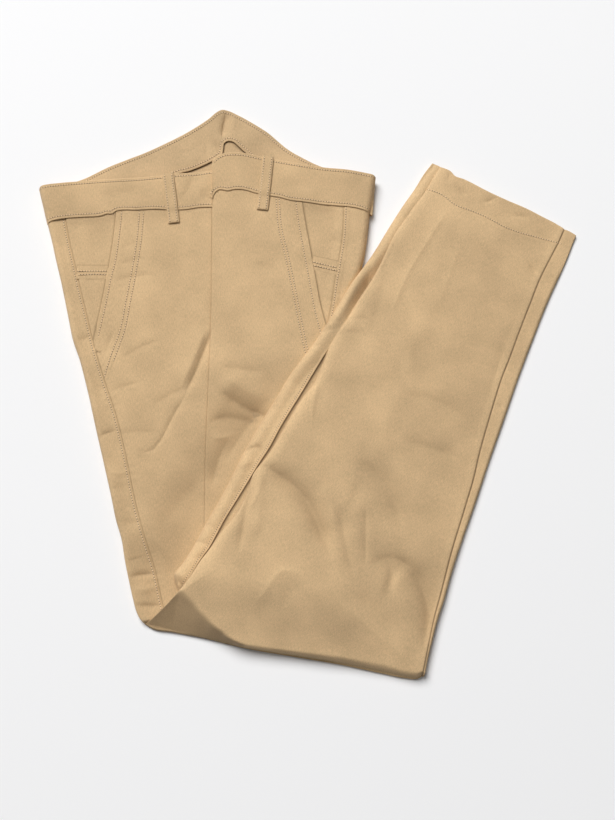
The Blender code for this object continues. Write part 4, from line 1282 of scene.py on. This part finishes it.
# columns: mm from its middle, width and height as shares of its thickness, how much it lies in the hole and
# is painted with the hole's shade
STITCH_SHAPE = (
    (-1.5, 0.8, 0.1, 1), (-1.4, 1.25, 0.3, 1), (-1.18, 1.3, 0.34, 1), (-1.08, 1.0, 0.5, 0.6),
    (-0.98, 0.95, 0.8, 0), (-0.5, 1.0, 1.0, 0), (0.5, 1.0, 1.0, 0), (0.98, 0.95, 0.8, 0),
    (1.08, 1.0, 0.5, 0.6), (1.18, 1.3, 0.34, 1), (1.4, 1.25, 0.3, 1), (1.5, 0.8, 0.1, 1))


PITCH = 3.05  # from one stitch to the next


def stitches(name, piece_name, rows, pitch=PITCH, thick=0.95, lift=0.16, ground=None):
    """Rows of stitches as one mesh. rows holds (line, mm to the left of it, start share, end share)."""
    shape = np.array(STITCH_SHAPE)
    stations = len(shape)
    centres = []
    sides = []
    for line, away, start, end in rows:
        row = part_of(beside(line, -away), start, end)
        size = lengths(row)[-1]
        count = max(2, int(size / pitch))
        middle = (np.arange(count) + 0.5) / count
        ahead = at(row, np.minimum(middle + 0.4 / size, 1)) - at(row, np.maximum(middle - 0.4 / size, 0))
        ahead /= np.linalg.norm(ahead, axis=1)[:, None]
        side = np.column_stack((-ahead[:, 1], ahead[:, 0]))
        shaky = np.random.default_rng(count).uniform(-1, 1, (count, 2))
        turn = ahead + side * 0.07 * shaky[:, :1]
        reach = pitch / PITCH * (1 + 0.06 * shaky[:, 1])
        stretched = shape[None, :, :1] * reach[:, None, None]
        centres.append(at(row, middle)[:, None] + turn[:, None] * stretched)
        sides.append(np.repeat(side[:, None], stations, axis=1))
    centres = np.concatenate(centres)
    sides = np.concatenate(sides)
    count = len(centres)
    wide = np.repeat(shape[None, :, 1], count, axis=0)
    if ground:
        below = ground(centres[..., 0].ravel(), centres[..., 1].ravel()).reshape(centres.shape[:2])
    else:
        below = height_of(piece_name, centres[..., 0], centres[..., 1])
    high = np.repeat(shape[None, :, 2], count, axis=0)
    middle_height = below + thick * 0.1 * high + lift
    turn = np.linspace(0, 2 * math.pi, STITCH_SIDES, endpoint=False)
    places = centres[:, :, None] + np.cos(turn)[:, None] * (sides * (wide * thick / 2)[..., None])[:, :, None]
    up = middle_height[..., None] + np.sin(turn) * (high * thick * 0.36)[..., None]
    rings = np.concatenate((places, up[..., None]), axis=-1).reshape(-1, 3)
    number = np.arange(count * stations * STITCH_SIDES).reshape(count, stations, STITCH_SIDES)
    following = np.roll(number, -1, axis=2)
    quads = np.stack((number[:, :-1], following[:, :-1], following[:, 1:], number[:, 1:]), axis=-1)
    quads = quads.reshape(-1, 4)
    caps = np.concatenate((number[:, 0, ::-1], number[:, -1]))
    # painted shade: the ends that dive into the needle holes take the thread's dark colour
    hole = np.repeat(np.repeat(shape[None, :, 3], count, axis=0).ravel(), STITCH_SIDES)
    faces = quads.tolist() + caps.tolist()
    PIECES[name] = new_object(name, rings, faces, rings[:, :2], hole, THREAD)
    print(name, count, "stitches")


# %% Sewing every row
stitches("stitches_right_back", "right_back", ((OUTSEAM, 3.2, 0.03, 0.98),))
stitches("stitches_right_front", "right_front", (
    (MOUTH_STITCH_RIGHT, 0.0, 0.03, 1.0), (BAG_STITCH_RIGHT, 0.0, 0.0, 1.0),
    (beside(BAG_STITCH_RIGHT, 5.0), 0.0, 0.1, 1.0)))
stitches("stitches_left_front", "left_front", (
    (MOUTH_STITCH_LEFT, 0.0, 0.0, 1.0), (BAG_STITCH_LEFT, 0.0, 0.0, 1.0),
    (beside(BAG_STITCH_LEFT, 3.6), 0.0, 0.0, 1.0)))
stitches("stitches_left_back", "left_back", ((RIGHT_SEAM, -2.6, 0.1, 0.96),))
stitches("stitches_waistband_right", "waistband_right_front", (
    (BAND_BOTTOM_RIGHT, 3.0, 0.01, 0.93), (BAND_TOP_RIGHT, -2.6, 0.01, 0.93)))
stitches("stitches_waistband_left", "waistband_left_front", (
    (BAND_BOTTOM_LEFT, 3.0, 0.02, 0.98), (BAND_TOP_LEFT, -2.6, 0.0, 0.98)))
stitches("stitches_waistband_back", "waistband_back", (
    (BACK_EDGE, -3.0, 0.03, 0.97), (BACK_INNER, 3.4, 0.1, 0.97)))
stitches("stitches_hem", "right_leg_back", ((HEM_STITCH, 0.0, 0.01, 0.93),))
stitches("stitches_under_leg", "left_leg_back", (
    (UNDER_LEG_SEAM, 2.4, 0.02, 0.5),), pitch=2.6, thick=0.65)
stitches("stitches_facing_right", "pocket_facing_right", (
    (curve(((-268, 162), (-250, 162.6), (-234, 162.3))), 0.0, 0.0, 1.0),
    (curve(((-267, 157.8), (-250, 158.6), (-234.5, 158.3))), 0.0, 0.0, 1.0)), lift=0.75)
stitches("stitches_facing_left", "pocket_facing_left", (
    (curve(((5.8, 173.2), (20, 169.9), (33.6, 166.5))), 0.0, 0.0, 1.0),
    (curve(((7, 169), (20.5, 165.7), (34.4, 162.5))), 0.0, 0.0, 1.0)), lift=0.75)


# %% [markdown]
# ## Belt loops and facing strips
# Small folded strips. A loop is turned under and sewn at both ends, so its middle stands a little off the
# waistband. A strip is one cross-section, rounded at both sides, carried from its start to its end over
# whatever lies below. A bent box would cut into the uneven cloth under it.

# %% Loops and strips
LOOPS = (
    ("belt_loop_right", (-164.5, 281.5), (-156.5, 220.5)),
    ("belt_loop_left", (-46.0, 302.0), (-53.0, 236.0)),
)
LOOP_WIDTH = 13.0


def strip(name, start, end, width, ground, thick, arch=0.0, groove=0.25, lift=0.2, fade=0.0):
    """A folded strip of cloth from start to end, rounded at its edges, over the heights that ground gives."""
    start = np.array(start)
    end = np.array(end)
    size = np.linalg.norm(end - start)
    down = (end - start) / size
    side = np.array((-down[1], down[0]))
    stations = np.concatenate(([0.0, 0.6, 1.6], np.linspace(3, size - 3, 26), [size - 1.6, size - 0.6, size]))
    profile = []
    for s in np.linspace(-1, 1, 13):
        drop = 0.75 * (1 - math.sqrt(max(0.0, 1 - max(0.0, abs(s) - 0.9) ** 2 / 0.01)))
        profile.append((s * width / 2, 1.0 - drop * 0.6))
    profile = [(-width / 2, 0.05), (-width / 2 - 0.25, 0.45)] + profile + [
        (width / 2 + 0.25, 0.45), (width / 2, 0.05)]
    points = []
    for place in stations:
        share = place / size
        round_end = math.sqrt(max(0.05, 1 - max(0.0, 1 - min(place, size - place) / 1.2) ** 2))
        if fade:
            round_end = min(round_end, (size - place) / fade)
        for offset, level in profile:
            centre = start + down * place + side * offset
            raised = arch * math.sin(math.pi * share)
            points.append((centre[0], centre[1], raised, level * round_end, offset, place))
    points = np.array(points)
    base = ground(points[:, 0], points[:, 1])
    columns = len(profile)
    base = base.reshape(len(stations), columns)
    base = np.maximum(base, base.mean(axis=1, keepdims=True)).ravel()
    sewn = np.exp(-(((np.abs(points[:, 4]) - width / 2 + 2.2) / 0.8) ** 2))
    z = base + lift + points[:, 2] + thick * points[:, 3] - groove * sewn
    number = np.arange(len(stations) * columns).reshape(len(stations), columns)
    faces = np.column_stack([part.ravel() for part in (
        number[:-1, :-1], number[1:, :-1], number[1:, 1:], number[:-1, 1:])])
    mesh_points = np.column_stack((points[:, :2], z))
    # painted shade: darker in the groove of each stitched row and in a thin line across the strip's first
    # end, where it meets the cloth below
    dark = np.maximum(0.6 * groove * sewn, 0.45 * np.exp(-((points[:, 5] / 1.1) ** 2)))
    PIECES[name] = new_object(name, mesh_points, faces.tolist(), points[:, 4:6], dark, OUTSIDE)
    print(name, len(faces), "faces")


def loop_ground(name):
    """The heights under a belt loop: the waistband, and the front below it."""
    band = "waistband_right_front" if "right" in name else "waistband_left_front"
    front = "right_front" if "right" in name else "left_front"

    def ground(x, y):
        """The height at a place of this loop."""
        lower, upper = band_edges(x)
        on_band = ease((y - lower + 3) / 5)
        band_height = height_of(band, x, np.minimum(y, upper - 1.5))
        front_height = height_of(front, x, y) + 0.4
        return band_height * on_band + front_height * (1 - on_band)

    return ground


# %% Laying the loops and strips
LOOP_STITCH = 4.3  # from the loop's middle to each row of stitches
for loop_name, loop_start, loop_end in LOOPS:
    ground = loop_ground(loop_name)
    strip(loop_name, loop_start, loop_end, LOOP_WIDTH, ground, 2.1, arch=0.4)
    along_loop = curve((loop_start, loop_end))
    rows = ((along_loop, LOOP_STITCH, 0.03, 0.97), (along_loop, -LOOP_STITCH, 0.03, 0.97))
    stitches(f"stitches_{loop_name}", None, rows, lift=2.5, ground=ground)
strip("facing_strip_right", (-250.5, 170.3), (-250.5, 153.0), 36.0,
      lambda x, y: height_of("pocket_facing_right", x, y), 0.45, groove=0.0, lift=0.02, fade=12)
strip("facing_strip_left", (22.4, 178.0), (18.6, 161.0), 31.0,
      lambda x, y: height_of("pocket_facing_left", x, y), 0.45, groove=0.0, lift=0.02, fade=12)


# %% [markdown]
# ## The layers underneath
# Under the visible panels lies the rest of the cloth: backs, fronts and the other leg, folded with them.
# No one sees these layers apart, so one solid stands for all of them: the construction model's own, with
# finer faces, drawn in from the pile's edge and pressed down until it lies just under the cloth on top.

# %% Layers round the pile
LAYER_GAP = 2.9  # the layers keep this far below the cloth on top of them
LAYER_LOWEST = 0.6
LAYER_MARGIN = 3.0  # and this far inside the pile's edge
# painted shade: the hidden layers show only deep in the gaps between the pieces on top, so they are painted
# darker
LAYER_SHADE = 0.35
GAP_CLEAR = 0.6
FINER_EDGES = (0.040, 0.020, 0.012)  # metres: longer edges are halved, in three rounds
AROUND = ((10, 0), (-10, 0), (0, 10), (0, -10), (7, 7), (-7, 7), (7, -7), (-7, -7))


def top_cloth(x, y):
    """The lowest visible cloth over a place of the pile."""
    inside_leg = (from_line(TOP_LEG_LEFT, x, y)[0] < 3) & (from_line(TOP_LEG_RIGHT, x, y)[0] > -3)
    inside_under = (from_line(UNDER_LEG_LEFT, x, y)[0] < 3) & (from_line(TOP_LEG_RIGHT, x, y)[0] > -3)
    seat = seat_height(x, y) - FACING_DROP
    _, upper = band_edges(x)
    seat = np.where(y > upper - 3, back_band_height(x, y), seat)
    below = np.where(inside_under, gap_height(x, y) - GAP_CLEAR, seat)
    return np.where(inside_leg, np.minimum(leg_height(x, y), below + 8), below)


def pile_outline():
    """The pile's edge, clockwise: up the left side, over the waistband, along the legs and the fold."""
    right_side = RIGHT_SIDE[::-1]
    under_leg = UNDER_LEG_LEFT[UNDER_LEG_LEFT[:, 1] > 156]
    return np.vstack((
        LEFT_SIDE, BACK_EDGE, right_side[right_side[:, 1] > 156], under_leg, HEM, HEM_RIGHT,
        TOP_LEG_RIGHT[::-1], FOLD[::-1]))


def pulled_inside(x, y, margin):
    """Places moved to at least margin inside the pile's edge."""
    edge = pile_outline()
    edge = edge[np.concatenate(([True], np.linalg.norm(np.diff(edge, axis=0), axis=1) > 0.01))]
    outside, share = from_line(edge, x, y)
    nearest = at(edge, share)
    inward = (nearest - np.column_stack((x, y))) * np.sign(outside)[:, None]
    inward /= np.maximum(np.linalg.norm(inward, axis=1)[:, None], 1e-6)
    moved = nearest + inward * margin
    wrong = outside > -margin
    return np.where(wrong, moved[:, 0], x), np.where(wrong, moved[:, 1], y)


print("the pile's edge:", round(lengths(pile_outline())[-1]), "mm")


# %% Fitting the layers under the cloth
def hidden_layers():
    """The construction model's solid, with finer faces, fitted under the cloth."""
    shape = bmesh.new()
    shape.from_mesh(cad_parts["hidden_layers"].data)
    bmesh.ops.triangulate(shape, faces=shape.faces[:])
    for length in FINER_EDGES:
        long_edges = [edge for edge in shape.edges if edge.calc_length() > length]
        bmesh.ops.subdivide_edges(shape, edges=long_edges, cuts=1, use_grid_fill=True)
        bmesh.ops.triangulate(shape, faces=[face for face in shape.faces if len(face.verts) > 4])
    mesh = bpy.data.meshes.new("layers_under")
    shape.to_mesh(mesh)
    shape.free()
    mesh.shade_smooth()
    count = len(mesh.vertices)
    places = np.empty(count * 3)
    mesh.vertices.foreach_get("co", places)
    places = places.reshape(-1, 3)
    x = places[:, 0] / MM + PILE_MIDDLE[0]
    y = places[:, 1] / MM + PILE_MIDDLE[1]
    z = places[:, 2] / MM
    x, y = pulled_inside(x, y, LAYER_MARGIN)
    ceiling = top_cloth(x, y)
    for dx, dy in AROUND:
        ceiling = np.minimum(ceiling, top_cloth(x + dx, y + dy))
    ceiling = np.maximum(ceiling - LAYER_GAP, LAYER_LOWEST)
    places = np.column_stack((x - PILE_MIDDLE[0], y - PILE_MIDDLE[1], np.minimum(z, ceiling))) * MM
    mesh.vertices.foreach_set("co", places.ravel())
    loops = np.empty(len(mesh.loops), np.int32)
    mesh.loops.foreach_get("vertex_index", loops)
    layer = mesh.uv_layers.new(name="flat")
    layer.data.foreach_set("uv", places[loops][:, :2].ravel())
    mark = mesh.attributes.new("ditch", "FLOAT", "POINT")
    # painted shade, the same everywhere on the hidden layers
    mark.data.foreach_set("value", np.full(count, LAYER_SHADE, np.float32))
    mesh.materials.append(INSIDE)
    piece = bpy.data.objects.new("layers_under", mesh)
    bpy.context.scene.collection.objects.link(piece)
    PIECES["layers_under"] = piece
    print("layers_under", len(mesh.polygons), "faces")


hidden_layers()

# %% [markdown]
# ## Into the frame
# Every piece rides on the one body, and each piece but the stitches hides the plain solid that it stands for.

# %% Riding and replacing
for name, piece in PIECES.items():
    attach(piece, "root")
    if name == "layers_under":
        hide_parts("hidden_layers")
    elif not name.startswith("stitches"):
        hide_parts(name)
print("pieces:", len(PIECES))

# %% [markdown]

# %% [markdown]
# ## Studio
# A pale floor, one broad soft light from the upper left, a weak one overhead and a faint glow all round.
# A small lamp would draw hard shadows round the pile; under this large one the creases fade softly.


# %% Floor
def make_floor():
    """A large pale plane just under the pile, for the picture alone."""
    mesh = bpy.data.meshes.new("floor")
    half = 4.0
    corners = [(-half, -half, 0), (half, -half, 0), (half, half, 0), (-half, half, 0)]
    mesh.from_pydata(corners, [], [(0, 1, 2, 3)])
    material = bpy.data.materials.new("pale_floor")
    material.use_nodes = True
    shader = material.node_tree.nodes["Principled BSDF"]
    shader.inputs["Base Color"].default_value = (0.89, 0.89, 0.895, 1)
    shader.inputs["Roughness"].default_value = 0.8
    mesh.materials.append(material)
    floor = bpy.data.objects.new("floor", mesh)
    floor.location = (0, 0, -0.0004)
    bpy.context.scene.collection.objects.link(floor)
    print("floor", 2 * half, "m wide")


make_floor()


# %% Light
def area_light(name, place, size, power):
    """A round, soft light that faces the middle of the pile."""
    light = bpy.data.lights.new(name, "AREA")
    light.shape = "DISK"
    light.size = size
    light.energy = power
    lamp = bpy.data.objects.new(name, light)
    lamp.location = place
    lamp.rotation_mode = "QUATERNION"
    aim = Vector((0, 0, 0)) - Vector(place)
    lamp.rotation_quaternion = aim.to_track_quat("-Z", "Y")
    bpy.context.scene.collection.objects.link(lamp)
    print(name, power, "W")


area_light("key", (-3.1, 5.37, 7.93), 6.4, 1140)
area_light("ceiling", (0, 0.8, 4.5), 5.0, 31)

world = bpy.data.worlds.new("room")
world.use_nodes = True
world.node_tree.nodes["Background"].inputs["Color"].default_value = (1.0, 1.0, 1.0, 1)
world.node_tree.nodes["Background"].inputs["Strength"].default_value = 0.08
bpy.context.scene.world = world

# %% Camera
CAMERA_ELEVATION = math.radians(78)
CAMERA_DISTANCE = 1.571
AIM = (0.0016, -0.0326, 0.0)
camera_data = bpy.data.cameras.new("camera")
camera_data.lens = 60
camera_data.sensor_width = 36
camera = bpy.data.objects.new("camera", camera_data)
camera.location = (
    AIM[0],
    AIM[1] - CAMERA_DISTANCE * math.cos(CAMERA_ELEVATION),
    CAMERA_DISTANCE * math.sin(CAMERA_ELEVATION))
camera.rotation_euler = (math.pi / 2 - CAMERA_ELEVATION, 0, 0)
bpy.context.scene.collection.objects.link(camera)
bpy.context.scene.camera = camera
bpy.context.scene.view_settings.view_transform = "Standard"
print("camera", CAMERA_DISTANCE, "m away")
